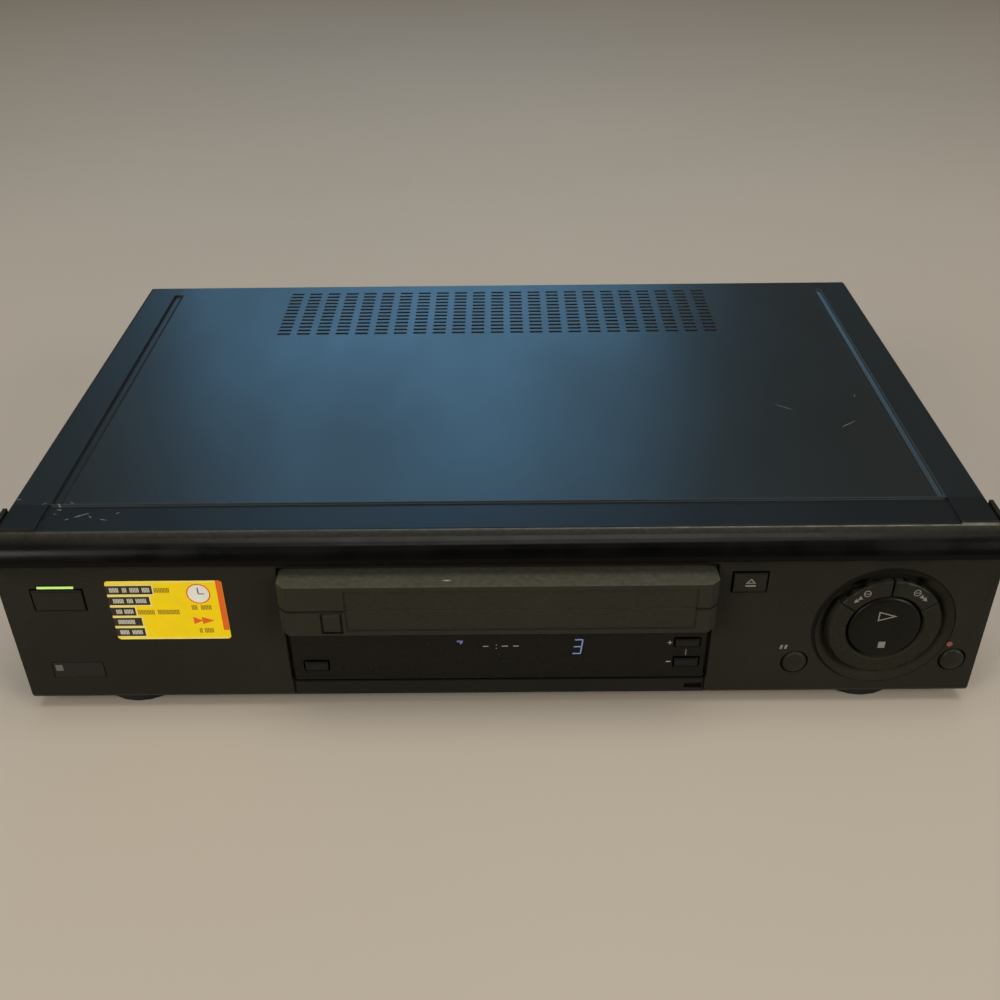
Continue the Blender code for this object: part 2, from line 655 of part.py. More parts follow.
def turned(axis, centre, profile, facets=ROUND):
    """Turns a closed profile of radius and depth about an axis through centre."""
    shape = bmesh.new()
    rings = []
    for step in range(facets):
        angle = 2 * math.pi * step / facets
        ring = []
        for radius, depth in profile:
            point = (centre[0] + radius * math.cos(angle), centre[1] + radius * math.sin(angle))
            ring.append(shape.verts.new(along(axis, point, depth)))
        rings.append(ring)
    for step, ring in enumerate(rings):
        following = rings[(step + 1) % facets]
        for i in range(len(profile)):
            if profile[i - 1][0] or profile[i][0]:
                shape.faces.new((ring[i - 1], ring[i], following[i], following[i - 1]))
    bmesh.ops.remove_doubles(shape, verts=shape.verts, dist=FIT / 100)
    return outward(shape)


def scratch_object(shape):
    """Puts a shape in the scene for the length of one operation."""
    mesh = bpy.data.meshes.new("scratch")
    shape.to_mesh(mesh)
    shape.free()
    piece = bpy.data.objects.new("scratch", mesh)
    bpy.context.scene.collection.objects.link(piece)
    return piece


def combined(operation, body, tools):
    """Returns the body after a Boolean with each tool in turn."""
    for tool in tools:
        target = scratch_object(body)
        cutter = scratch_object(tool)
        step = target.modifiers.new("Boolean", "BOOLEAN")
        step.operation = operation
        step.solver = "EXACT"
        step.object = cutter
        graph = bpy.context.evaluated_depsgraph_get()
        body = bmesh.new()
        body.from_object(target, graph)
        for piece in (target, cutter):
            mesh = piece.data
            bpy.data.objects.remove(piece)
            bpy.data.meshes.remove(mesh)
    return body


def cut(body, *tools):
    """Cuts every tool out of the body."""
    return combined("DIFFERENCE", body, tools)


def joined(body, *tools):
    """Joins every tool, which reaches into the body, to it."""
    return combined("UNION", body, tools)


def together(*shapes):
    """Gathers shapes that don't touch each other into one tool."""
    gathered = bmesh.new()
    for shape in shapes:
        mesh = bpy.data.meshes.new("scratch")
        shape.to_mesh(mesh)
        shape.free()
        gathered.from_mesh(mesh)
        bpy.data.meshes.remove(mesh)
    return gathered


def mirrored(shape):
    """Returns the shape's mirror image across the middle of the recorder."""
    bmesh.ops.scale(shape, vec=(-1.0, 1.0, 1.0), verts=shape.verts)
    bmesh.ops.reverse_faces(shape, faces=shape.faces)
    return shape


def softened(shape, width, angle=math.radians(60), keep=None):
    """Bevels the edges sharper than an angle, all of them or those that keep picks."""
    edges = [edge for edge in shape.edges
             if edge.is_manifold and edge.calc_face_angle(0.0) > angle and (keep is None or keep(edge))]
    bmesh.ops.bevel(shape, geom=edges, offset=width, segments=1, affect="EDGES", clamp_overlap=True)
    return shape


def finished(name, shape, finish, origin=(0.0, 0.0, 0.0)):
    """Makes the named piece, with its origin where its joint or its middle is."""
    bmesh.ops.remove_doubles(shape, verts=shape.verts, dist=FIT / 1000)
    bmesh.ops.translate(shape, verts=shape.verts, vec=-Vector(origin))
    mesh = bpy.data.meshes.new(name)
    shape.to_mesh(mesh)
    shape.free()
    mesh.shade_smooth()
    mesh.set_sharp_from_angle(angle=math.radians(35))
    mesh.materials.append(material(name, *FINISHES[finish]))
    piece = bpy.data.objects.new(name, mesh)
    bpy.context.scene.collection.objects.link(piece)
    piece.parent = RECORDER
    piece.location = origin
    return piece


def sloped(shape, place, height, tilt):
    """Leans a shape sideways about a point on its axis."""
    bmesh.ops.rotate(shape, cent=(*place, height), matrix=Matrix.Rotation(tilt, 3, "Y"), verts=shape.verts)
    return shape


# Casing

def door_axis():
    """Returns the depth and height of the cassette door's pins."""
    depth = PANEL_WALL + FIT + DOOR_THICKNESS * DOOR_PIN_SHARE
    return depth, CASSETTE_TOP + FIT + DOOR_THICKNESS / 2


def panel_side_view(wall):
    """Returns the front panel's side view, set in by a wall thickness, without its back edge."""
    radius = BROW_SETBACK + BROW_PROUD
    centre = (BROW_SETBACK, FACE_HEIGHT - BAND_DROP - radius)
    brow = arc(centre, radius - wall, math.pi, math.pi / 2, BROW_STEPS)
    return [(wall, 0.0), (wall, BROW_BASE)] + brow


def front_panel():
    side_view = ([(PANEL_SIDE_DEPTH, -LIP_DROP), (LIP_SETBACK, -LIP_DROP)] + panel_side_view(0.0)
                 + [(BROW_SETBACK + BAND_DROP, FACE_HEIGHT), (PANEL_SIDE_DEPTH, FACE_HEIGHT)])
    panel = prism("X", -PANEL_HALF, PANEL_HALF, side_view)
    far = COVER_FRONT + OVERRUN
    room = panel_side_view(PANEL_WALL)
    low = -LIP_DROP - OVERRUN
    hollow = [(far, low), (PANEL_WALL, low)] + room[1:] + [(far, room[-1][1])]
    inner_half = PANEL_HALF - PANEL_SIDE_WALL
    panel = cut(panel, prism("X", -inner_half, inner_half, hollow))
    # The cover's front edge lies on a ledge between the panel's side walls
    ledge_top = FACE_HEIGHT - BAND_DROP - COVER_SHEET - FIT
    step = BROW_SETBACK + BAND_DROP
    band_half = PANEL_HALF - BAND_INSET
    panel = cut(panel, block(-band_half, band_half, BROW_SETBACK, far, FACE_HEIGHT - BAND_DROP,
                             FACE_HEIGHT + OVERRUN))
    panel = cut(panel, block(-inner_half, inner_half, step, far, ledge_top, FACE_HEIGHT + OVERRUN))
    for side in (-1, 1):
        left, right = sorted((side * (COVER_HALF - COVER_SHEET - FIT), side * inner_half))
        panel = cut(panel, block(left, right, step, far, room[-1][1] - OVERRUN, FACE_HEIGHT + OVERRUN))

    notch_half = FLAP_HALF + FIT
    notch_top = FLAP_TOP + FIT
    opening = [(-notch_half, low), (notch_half, low), (notch_half, notch_top), (SLOT_HALF, notch_top),
               (SLOT_HALF, SLOT_TOP), (-SLOT_HALF, SLOT_TOP), (-SLOT_HALF, notch_top),
               (-notch_half, notch_top)]
    near = -BROW_PROUD - OVERRUN
    through = PANEL_WALL + OVERRUN
    holes = [prism("Y", near, through, opening)]
    for (across, up, width, height), gap in ((POWER_KEY, KEY_GAP), (EJECT_KEY, KEY_GAP), (LAMP, FIT),
                                             (SENSOR, FIT)):
        outline = middle_rectangle(across, up, width + 2 * gap, height + 2 * gap)
        holes.append(prism("Y", near, through, outline))
    for place in (PAUSE_PLACE, RECORD_PLACE):
        holes.append(rod("Y", near, through, place, ROUND_KEY_RADIUS + ROUND_KEY_GAP))
    holes.append(rod("Y", near, through, DIAL_PLACE, DISH_RADIUS + FIT, FINE))
    panel = cut(panel, *holes)

    # The display moulding lies against this frame, which shows at the bottom of the side gaps
    outer = SLOT_HALF + LEDGE_OUTSET
    inner = SLOT_HALF - LEDGE_INSET
    top = DISPLAY_TOP - SILL_THICKNESS - FIT
    bar_top = DISPLAY_BOTTOM + LEDGE_OUTSET
    frame = [(-outer, notch_top), (outer, notch_top), (outer, top), (inner, top),
             (inner, bar_top), (-inner, bar_top), (-inner, top), (-outer, top)]
    seat = PANEL_WALL + FIT
    additions = [prism("Y", seat, seat + LEDGE_THICKNESS, frame)]
    middle = (SLOT_HALF + outer) / 2
    for side in (-1, 1):
        left, right = sorted((side * middle, side * outer))
        additions.append(block(left, right, PANEL_WALL - BITE, seat + BITE, notch_top, top))
    # Ears carry the door's pins
    ear_low = door_axis()[1] - DOOR_EAR_HEIGHT / 2
    for side in (-1, 1):
        left, right = sorted((side * SLOT_HALF, side * (SLOT_HALF + DOOR_EAR_THICKNESS)))
        additions.append(block(left, right, PANEL_WALL - BITE, PANEL_WALL + DOOR_EAR_DEPTH,
                               ear_low, ear_low + DOOR_EAR_HEIGHT))
    # Posts carry the two boards
    for places, board in ((control_board_posts(), CONTROL_BOARD_SETBACK),
                          (front_board_posts(), FRONT_BOARD_SETBACK)):
        for place in places:
            additions.append(rod("Y", PANEL_WALL - BITE, board - FIT, place, PANEL_POST_RADIUS, COARSE))
    panel = joined(panel, *additions)

    sockets = []
    reach = FLAP_HALF + FLAP_PIN_LENGTH + FIT
    for side in (-1, 1):
        start, end = sorted((side * (notch_half - OVERRUN), side * reach))
        sockets.append(rod("X", start, end, flap_axis(), FLAP_PIN_RADIUS + FIT, COARSE))
        start, end = sorted((side * (SLOT_HALF - OVERRUN), side * (SLOT_HALF + DOOR_EAR_THICKNESS
                                                                   + OVERRUN)))
        sockets.append(rod("X", start, end, door_axis(), DOOR_PIN_RADIUS + FIT, COARSE))
    finished("front_panel", cut(panel, together(*sockets)), "panel plastic")


def bent_sheet(half, top, low, sheet, bend):
    """Returns the outline of a sheet bent down at both sides."""
    quarter = math.pi / 2
    outer = (arc((half - bend, top - bend), bend, 0, quarter, 3)
             + arc((bend - half, top - bend), bend, quarter, 2 * quarter, 3))
    inside = bend - sheet
    inner = (arc((bend - half, top - bend), inside, 2 * quarter, quarter, 3)
             + arc((half - bend, top - bend), inside, quarter, 0, 3))
    return ([(half, low)] + outer + [(-half, low), (sheet - half, low)] + inner + [(half - sheet, low)])


def vent_slots(low, high):
    """Returns every vent slot of the cover as one tool."""
    slots = []
    for row in range(VENT_ROWS):
        back = BODY_DEPTH - VENT_MARGIN - row * VENT_PITCH_BACK
        for column in range(VENT_COLUMNS):
            across = (column - (VENT_COLUMNS - 1) / 2) * VENT_PITCH_ACROSS
            outline = middle_rectangle(across, back, VENT_LENGTH, VENT_WIDTH)
            slots.append(prism("Z", low, high, outline))
    return together(*slots)


def top_cover():
    sheet = bent_sheet(COVER_HALF, FACE_HEIGHT, COVER_HEM, COVER_SHEET, COVER_BEND)
    near = BROW_SETBACK + BAND_DROP + FIT
    cover = prism("Y", near, BODY_DEPTH, sheet)
    under = FACE_HEIGHT - COVER_SHEET
    # A shallow band is pressed into the front edge, level with the panel's brow
    band_half = PANEL_HALF - BAND_INSET
    ribs = [block(-band_half - BAND_DROP, band_half + BAND_DROP, near, COVER_FRONT + BAND_DROP,
                  under - BAND_DROP, under + BITE)]
    channels = [block(-band_half, band_half, near - OVERRUN, COVER_FRONT, FACE_HEIGHT - BAND_DROP,
                      FACE_HEIGHT + OVERRUN)]
    for side in (-1, 1):
        across = side * (COVER_HALF - GROOVE_INSET)
        start = (across, COVER_FRONT + GROOVE_FRONT_MARGIN + GROOVE_WIDTH / 2)
        end = (across, BODY_DEPTH - GROOVE_BACK_MARGIN - GROOVE_WIDTH / 2)
        half = GROOVE_WIDTH / 2
        ribs.append(prism("Z", under - GROOVE_DEPTH, under + BITE,
                          stadium(start, end, half + GROOVE_DEPTH)))
        channels.append(prism("Z", FACE_HEIGHT - GROOVE_DEPTH, FACE_HEIGHT + OVERRUN,
                              stadium(start, end, half)))
    screw_holes = []
    for side, back in cover_screw_places():
        start, end = sorted((side * (COVER_HALF - COVER_SHEET - OVERRUN), side * (COVER_HALF + OVERRUN)))
        screw_holes.append(rod("X", start, end, (back, COVER_SCREW_HEIGHT), SCREW_SHANK_RADIUS + FIT,
                               COARSE))
    cover = joined(cover, *ribs)
    cover = cut(cover, *channels, together(*screw_holes), vent_slots(under - OVERRUN,
                                                                     FACE_HEIGHT + OVERRUN))
    finished("top_cover", cover, "painted steel")


def cover_screw_places():
    """Returns the side and the place of each screw that holds the cover."""
    return [(-1, COVER_SCREW_PLACE), (1, COVER_SCREW_PLACE)]


def cover_screws():
    for name, (side, back) in zip(("cover_screw_left", "cover_screw_right"), cover_screw_places()):
        seat = COVER_HALF + FIT
        profile = [(0.0, seat + SCREW_HEAD_HEIGHT), (SCREW_HEAD_RADIUS - SCREW_HEAD_HEIGHT / 2,
                                                     seat + SCREW_HEAD_HEIGHT),
                   (SCREW_HEAD_RADIUS, seat + SCREW_HEAD_HEIGHT / 2), (SCREW_HEAD_RADIUS, seat),
                   (SCREW_SHANK_RADIUS, seat), (SCREW_SHANK_RADIUS, seat - SCREW_LENGTH),
                   (0.0, seat - SCREW_LENGTH)]
        screw = turned("X", (back, COVER_SCREW_HEIGHT), profile, COARSE)
        finished(name, screw if side > 0 else mirrored(screw), "plated steel")


def base_chassis():
    notch_half = SLOT_HALF + LEDGE_OUTSET
    notch_back = FRONT_JACK_SETBACK + JACK_LENGTH + 3 * LOOSE
    outline = [(-BASE_HALF, BASE_FRONT), (-notch_half, BASE_FRONT), (-notch_half, notch_back),
               (notch_half, notch_back), (notch_half, BASE_FRONT), (BASE_HALF, BASE_FRONT),
               (BASE_HALF, REAR_PANEL_BACK), (-BASE_HALF, REAR_PANEL_BACK)]
    vents = []
    for back in BASE_VENT_PLACES:
        for column in range(BASE_VENT_COLUMNS):
            across = BASE_HALF - BASE_VENT_MARGIN - column * BASE_VENT_PITCH
            for side in (-1, 1):
                vents.append(middle_rectangle(side * across, back, BASE_VENT_WIDTH, BASE_VENT_LENGTH))
    base = prism("Z", BASE_RISE, BASE_TOP, outline, *vents)
    flanges, holes = [], []
    for side in (-1, 1):
        left, right = sorted((side * (BASE_HALF - BASE_SHEET), side * BASE_HALF))
        flanges.append(block(left, right, COVER_FRONT, REAR_PANEL_FRONT - FIT, BASE_TOP - BITE,
                             BASE_FLANGE))
    for side, back in cover_screw_places():
        start, end = sorted((side * (BASE_HALF - BASE_SHEET - OVERRUN), side * (BASE_HALF + OVERRUN)))
        holes.append(rod("X", start, end, (back, COVER_SCREW_HEIGHT), SCREW_SHANK_RADIUS + FIT, COARSE))
    finished("base_chassis", cut(joined(base, *flanges), together(*holes)), "plated steel")


def rear_panel():
    half = BASE_HALF
    top = FACE_HEIGHT - COVER_SHEET - FIT
    outline = rounded_rectangle(-half, half, BASE_TOP + FIT, top, COVER_BEND)
    holes = [circle(place, AERIAL_RADIUS + FIT, COARSE) for place in aerial_places()]
    holes += [circle(place, JACK_RADIUS + FIT, COARSE) for place in rear_jack_places()]
    holes.append(circle(GLAND_PLACE, GLAND_RADIUS + FIT, ROUND))
    finished("rear_panel", prism("Y", REAR_PANEL_FRONT, REAR_PANEL_BACK, outline, *holes), "painted steel")


def feet():
    low = -STAND_HEIGHT
    high = BASE_RISE - FIT
    edge = FOOT_TAPER / 2
    profile = [(0.0, low + FOOT_RECESS_DEPTH), (FOOT_RECESS_RADIUS, low + FOOT_RECESS_DEPTH),
               (FOOT_RECESS_RADIUS, low), (FOOT_RADIUS - FOOT_TAPER - edge, low),
               (FOOT_RADIUS - FOOT_TAPER, low + edge), (FOOT_RADIUS, high - edge), (FOOT_RADIUS, high),
               (0.0, high)]
    front = BASE_FRONT + FOOT_RADIUS
    back = BODY_DEPTH - FOOT_BACK_MARGIN
    for name, across, place in (("foot_front_left", -FOOT_ACROSS, front),
                                ("foot_front_right", FOOT_ACROSS, front),
                                ("foot_rear_left", -FOOT_ACROSS, back),
                                ("foot_rear_right", FOOT_ACROSS, back)):
        finished(name, turned("Z", (across, place), profile), "rubber", (across, place, 0.0))


# Display moulding, keys and buttons

def display_window():
    holes = [middle_rectangle(across, up, width + 2 * KEY_GAP, height + 2 * KEY_GAP)
             for across, up, width, height in (SOURCE_KEY, CHANNEL_UP_KEY, CHANNEL_DOWN_KEY)]
    face = prism("Y", 0.0, PANEL_WALL, rectangle(-DISPLAY_HALF, DISPLAY_HALF, DISPLAY_BOTTOM, DISPLAY_TOP),
                 *holes)
    sill = block(-DISPLAY_HALF, DISPLAY_HALF, PANEL_WALL - BITE, SILL_DEPTH, DISPLAY_TOP - SILL_THICKNESS,
                 DISPLAY_TOP)
    finished("display_window", joined(face, sill), "gloss plastic")


def display_tube():
    front = PANEL_WALL + TUBE_GAP
    middle = (DISPLAY_BOTTOM + DISPLAY_TOP) / 2
    tube = block(-TUBE_HALF, TUBE_HALF, front, front + TUBE_DEPTH, middle - TUBE_HEIGHT / 2,
                 middle + TUBE_HEIGHT / 2)
    finished("display_tube", softened(tube, TUBE_DEPTH / 6), "display glass")


def switch_shape(place, front, board):
    """Returns a switch standing on a board, with its plunger at the front."""
    across, up = place
    shoulder = front + SWITCH_PLUNGER
    case = prism("Y", shoulder, board + BITE, middle_rectangle(across, up, SWITCH_SIZE, SWITCH_SIZE))
    return joined(case, rod("Y", front, shoulder + BITE, place, SWITCH_PLUNGER, COARSE))


def front_board_posts():
    """Returns the places of the panel's posts behind the left-hand controls."""
    left = -(COVER_HALF - COVER_SHEET - PANEL_POST_RADIUS - LOOSE)
    right = -(SLOT_HALF + DOOR_EAR_THICKNESS + CONTROL_BOARD_MARGIN)
    low = BASE_TOP + FRONT_JACK_BLOCK_TOP + PANEL_POST_RADIUS
    high = SLOT_TOP - PANEL_POST_RADIUS
    return [(left, high), (right, high), (right, low)]


def front_board():
    """Makes the L-shaped board behind the display and the left-hand controls."""
    front = FRONT_BOARD_SETBACK
    low = FRONT_JACK_BLOCK_TOP + FIT
    high = DISPLAY_TOP - SILL_THICKNESS - FIT
    left = -(COVER_HALF - COVER_SHEET - LOOSE)
    step = -(SLOT_HALF + DOOR_EAR_THICKNESS + LOOSE)
    outline = [(left, low), (DISPLAY_HALF, low), (DISPLAY_HALF, high), (step, high), (step, SLOT_TOP),
               (left, SLOT_TOP)]
    board = prism("Y", front, front + BOARD_SHEET, outline)
    key_back = KEY_DEPTH + KEY_TRAVEL + FIT
    switches = [switch_shape(place[:2], key_back, front) for place in (SOURCE_KEY, CHANNEL_UP_KEY,
                                                                       CHANNEL_DOWN_KEY)]
    switches.append(switch_shape(POWER_KEY[:2], BIG_KEY_DEPTH + BUTTON_TRAVEL + FIT, front))
    for place in (LAMP[:2], SENSOR[:2]):
        switches.append(prism("Y", LAMP_DEPTH + FIT, front + BITE,
                              middle_rectangle(*place, LED_SIZE, LED_SIZE)))
    finished("front_board", joined(board, *switches), "board laminate")


def control_board_posts():
    """Returns the places of the panel's posts behind the right-hand controls."""
    left = SLOT_HALF + DOOR_EAR_THICKNESS + CONTROL_BOARD_MARGIN + PANEL_POST_RADIUS
    right = COVER_HALF - COVER_SHEET - PANEL_POST_RADIUS - LOOSE
    low = BASE_TOP + FIT + PANEL_POST_RADIUS
    high = SLOT_TOP - PANEL_POST_RADIUS
    return [(left, (low + high) / 2), (right, low + FIT), (right, high), (left, low + FIT)]


def control_board():
    left = SLOT_HALF + DOOR_EAR_THICKNESS + LOOSE
    right = COVER_HALF - COVER_SHEET - LOOSE
    low = BASE_TOP + FIT
    front = CONTROL_BOARD_SETBACK
    board = block(left, right, front, front + BOARD_SHEET, low, SLOT_TOP)
    deep = BIG_KEY_DEPTH + BUTTON_TRAVEL + FIT
    switches = [switch_shape(place, deep, front) for place in (EJECT_KEY[:2], PAUSE_PLACE, RECORD_PLACE)]
    stem_end = SEGMENT_STEM_END + BUTTON_TRAVEL + FIT
    switches += [switch_shape(segment_middle(side), stem_end, front) for side in (-1, 1)]
    finished("control_board", joined(board, *switches), "brown laminate")


def rectangular_key(name, place, proud, depth, finish="key plastic"):
    """Makes a key with a flange that lies behind the wall it comes through."""
    across, up, width, height = place
    outline = rounded_rectangle(across - width / 2, across + width / 2, up - height / 2, up + height / 2,
                                KEY_RADIUS)
    cap = prism("Y", -proud, depth, outline)
    cap = softened(cap, KEY_RADIUS / 2, keep=lambda edge: all(vert.co.y < -proud + FIT / 2
                                                              for vert in edge.verts))
    seat = PANEL_WALL + FIT
    flange = middle_rectangle(across, up, width + 2 * (KEY_GAP + BUTTON_FLANGE), height - 2 * BITE)
    finished(name, joined(cap, prism("Y", seat, seat + BUTTON_FLANGE, flange)), finish, (across, seat, up))


def round_key(name, place):
    """Makes a round button with a slightly domed face."""
    seat = PANEL_WALL + FIT
    rim = ROUND_KEY_RADIUS + ROUND_KEY_FLANGE
    crown = ROUND_KEY_CROWN
    profile = [(0.0, -ROUND_KEY_PROUD - crown), (ROUND_KEY_RADIUS / 2,
                                                 -ROUND_KEY_PROUD - crown * CROWN_SHARE),
               (ROUND_KEY_RADIUS - crown, -ROUND_KEY_PROUD), (ROUND_KEY_RADIUS, -ROUND_KEY_PROUD + crown),
               (ROUND_KEY_RADIUS, seat), (rim, seat), (rim, seat + BUTTON_FLANGE),
               (ROUND_KEY_RADIUS - BUTTON_FLANGE, seat + BUTTON_FLANGE),
               (ROUND_KEY_RADIUS - BUTTON_FLANGE, BIG_KEY_DEPTH), (0.0, BIG_KEY_DEPTH)]
    finished(name, turned("Y", place, profile), "key plastic", (place[0], seat, place[1]))


def power_light_pipe():
    across, up, width, height = LAMP
    finished("power_light_pipe", prism("Y", 0.0, LAMP_DEPTH, middle_rectangle(across, up, width, height)),
             "lamp green")


def sensor_window():
    across, up, width, height = SENSOR
    finished("sensor_window", prism("Y", 0.0, SENSOR_DEPTH, middle_rectangle(across, up, width, height)),
             "dark glass")


# Round control group

def sector(start, end, inner, outer, steps):
    """Returns the outline of a piece of a ring about the dial's middle."""
    return arc(DIAL_PLACE, outer, start, end, steps) + arc(DIAL_PLACE, inner, end, start, steps)


def ring_piece(start, end, back, steps):
    """Makes a piece of the dial's ring with softened front edges."""
    piece = prism("Y", -RING_PROUD, back, sector(start, end, RING_INNER, RING_OUTER, steps))
    return softened(piece, RING_CROWN, keep=lambda edge: all(vert.co.y < -RING_PROUD + FIT / 2
                                                             for vert in edge.verts))


def segment_middle(side):
    """Returns the middle of the rewind (-1) or forward (1) segment."""
    angle = math.pi / 2 - side * (math.pi / 2 - RING_SPLIT_ANGLE) / 2
    radius = (RING_INNER + RING_OUTER) / 2
    return DIAL_PLACE[0] + radius * math.cos(angle), DIAL_PLACE[1] + radius * math.sin(angle)


def dial_dish():
    floor = DISH_DEPTH
    seat = PANEL_WALL + FIT
    rim = DISH_RADIUS + DISH_FLANGE
    profile = [(0.0, floor), (DISH_FLOOR_RADIUS, floor), (DISH_RADIUS, 0.0), (DISH_RADIUS, seat),
               (rim, seat),
               (rim, seat + BUTTON_FLANGE), (DISH_FLOOR_RADIUS + DISH_WALL, floor + DISH_WALL),
               (0.0, floor + DISH_WALL)]
    dish = turned("Y", DIAL_PLACE, profile, FINE)
    ring = ring_piece(math.pi - RING_SPLIT_ANGLE, 2 * math.pi + RING_SPLIT_ANGLE, floor + BITE, FINE // 2)
    holes = [rod("Y", floor - OVERRUN, floor + DISH_WALL + OVERRUN, segment_middle(side),
                 SEGMENT_STEM_RADIUS + FIT, COARSE) for side in (-1, 1)]
    for side in (-1, 1):
        ear = middle_rectangle(DIAL_PLACE[0] + side * ROCKER_EAR_SPREAD, DIAL_PLACE[1],
                               ROCKER_EAR_THICKNESS + 2 * FIT, ROCKER_EAR_WIDTH + 2 * LOOSE)
        holes.append(prism("Y", floor - OVERRUN, floor + DISH_WALL + OVERRUN, ear))
    finished("dial_dish", cut(joined(dish, ring), together(*holes)), "panel plastic")


def ring_buttons():
    back = DISH_DEPTH - SEGMENT_FLOAT
    top = math.pi / 2
    for name, side in (("rewind_button", -1), ("forward_button", 1)):
        edge = top - side * (top - RING_SPLIT_ANGLE)
        start, end = sorted((top, edge))
        shape = ring_piece(start + RING_GAP_ANGLE, end - RING_GAP_ANGLE, back, FINE // 5)
        place = segment_middle(side)
        stem = rod("Y", back - BITE, SEGMENT_STEM_END, place, SEGMENT_STEM_RADIUS, COARSE)
        finished(name, joined(shape, stem), "key plastic", (place[0], back, place[1]))


def rocker_axis():
    """Returns the depth and height of the play and stop rocker's pin."""
    return DISH_DEPTH + DISH_WALL + FIT + ROCKER_PIN_RADIUS, DIAL_PLACE[1]


def play_stop_rocker():
    back = ROCKER_THICKNESS - ROCKER_PROUD
    crown = ROCKER_CROWN
    profile = [(0.0, -ROCKER_PROUD + crown * HOLLOW_SHARES[0]),
               (ROCKER_RADIUS / 2, -ROCKER_PROUD + crown * HOLLOW_SHARES[1]),
               (ROCKER_RADIUS - crown, -ROCKER_PROUD), (ROCKER_RADIUS, -ROCKER_PROUD + crown),
               (ROCKER_RADIUS, back), (0.0, back)]
    disc = turned("Y", DIAL_PLACE, profile, FINE)
    depth, up = rocker_axis()
    parts = []
    for side in (-1, 1):
        across = DIAL_PLACE[0] + side * ROCKER_EAR_SPREAD
        half = ROCKER_EAR_THICKNESS / 2
        parts.append(block(across - half, across + half, back - BITE, depth + ROCKER_PIN_RADIUS + LOOSE,
                           up - ROCKER_EAR_WIDTH / 2, up + ROCKER_EAR_WIDTH / 2))
    reach = ROCKER_EAR_SPREAD + ROCKER_EAR_THICKNESS / 2 + ROCKER_PIN_OVERHANG
    parts.append(rod("X", DIAL_PLACE[0] - reach, DIAL_PLACE[0] + reach, (depth, up), ROCKER_PIN_RADIUS,
                     COARSE))
    finished("play_stop_rocker", joined(disc, *parts), "key plastic", (DIAL_PLACE[0], depth, up))


# Flap and front inputs

def flap_axis():
    """Returns the depth and height of the flap's pins."""
    return FLAP_AXIS_DEPTH, FLAP_PIN_RISE - LIP_DROP


def input_flap():
    side_view = [(0.0, FLAP_TOP), (0.0, 0.0), (LIP_SETBACK, -LIP_DROP), (FLAP_THICKNESS, -LIP_DROP),
                 (FLAP_THICKNESS, FLAP_TOP)]
    flap = prism("X", -FLAP_HALF, FLAP_HALF, side_view)
    pins = []
    for side in (-1, 1):
        start, end = sorted((side * (FLAP_HALF - BITE), side * (FLAP_HALF + FLAP_PIN_LENGTH)))
        pins.append(rod("X", start, end, flap_axis(), FLAP_PIN_RADIUS, COARSE))
    right = FLAP_HALF - NOTCH_INSET
    notch = block(right - NOTCH_WIDTH, right, -OVERRUN, NOTCH_DEPTH, NOTCH_LOW, NOTCH_HIGH)
    finished("input_flap", joined(cut(flap, notch), *pins), "panel plastic", (0.0, *flap_axis()))


def jack_shell(place, front, back):
    """Returns one input socket: a barrel with a blind bore, facing the front."""
    barrel = [(JACK_BORE, front), (JACK_RADIUS, front), (JACK_RADIUS, back), (0.0, back),
              (0.0, back - JACK_BORE), (JACK_BORE, back - JACK_BORE)]
    return turned("Y", place, barrel, COARSE)


def front_jack_block():
    back = FRONT_JACK_SETBACK + JACK_LENGTH
    last = FLAP_HALF - FRONT_JACK_INSET
    places = [(last - i * FRONT_JACK_PITCH, FRONT_JACK_HEIGHT) for i in reversed(range(FRONT_JACK_COUNT))]
    margin = FRONT_JACK_PITCH / 2
    body = block(places[0][0] - margin, places[-1][0] + margin, back + LOOSE, back + FRONT_JACK_BLOCK_DEPTH,
                 BASE_TOP + FIT, FRONT_JACK_BLOCK_TOP)
    shells = [jack_shell(place, FRONT_JACK_SETBACK, back + 2 * LOOSE) for place in places]
    finished("front_jack_block", joined(body, *shells), "jack plastic")


# Tape mechanism

def deck_posts():
    """Returns each round post on the deck: its place, its foot's radius and its top."""
    arm_top = PINCH_ARM_RISE + PINCH_ARM_SHEET + LOOSE
    return [((-REEL_HALF, REEL_PLACE), DECK_TOP + TABLE_HUB_HEIGHT - LOOSE),
            ((REEL_HALF, REEL_PLACE), DECK_TOP + TABLE_HUB_HEIGHT - LOOSE),
            ((0.0, IDLER_PIVOT_PLACE), DECK_TOP + IDLER_ARM_SHEET + IDLER_WHEEL_HEIGHT),
            (PINCH_PIVOT_PLACE, arm_top), (CAM_PLACE, CAM_RISE + CAM_HEIGHT + LOOSE)]


def sled_heading(side):
    """Returns the direction of a sled's travel, measured from X."""
    return math.atan2(SLED_END[1] - SLED_START[1], side * (SLED_END[0] - SLED_START[0]))


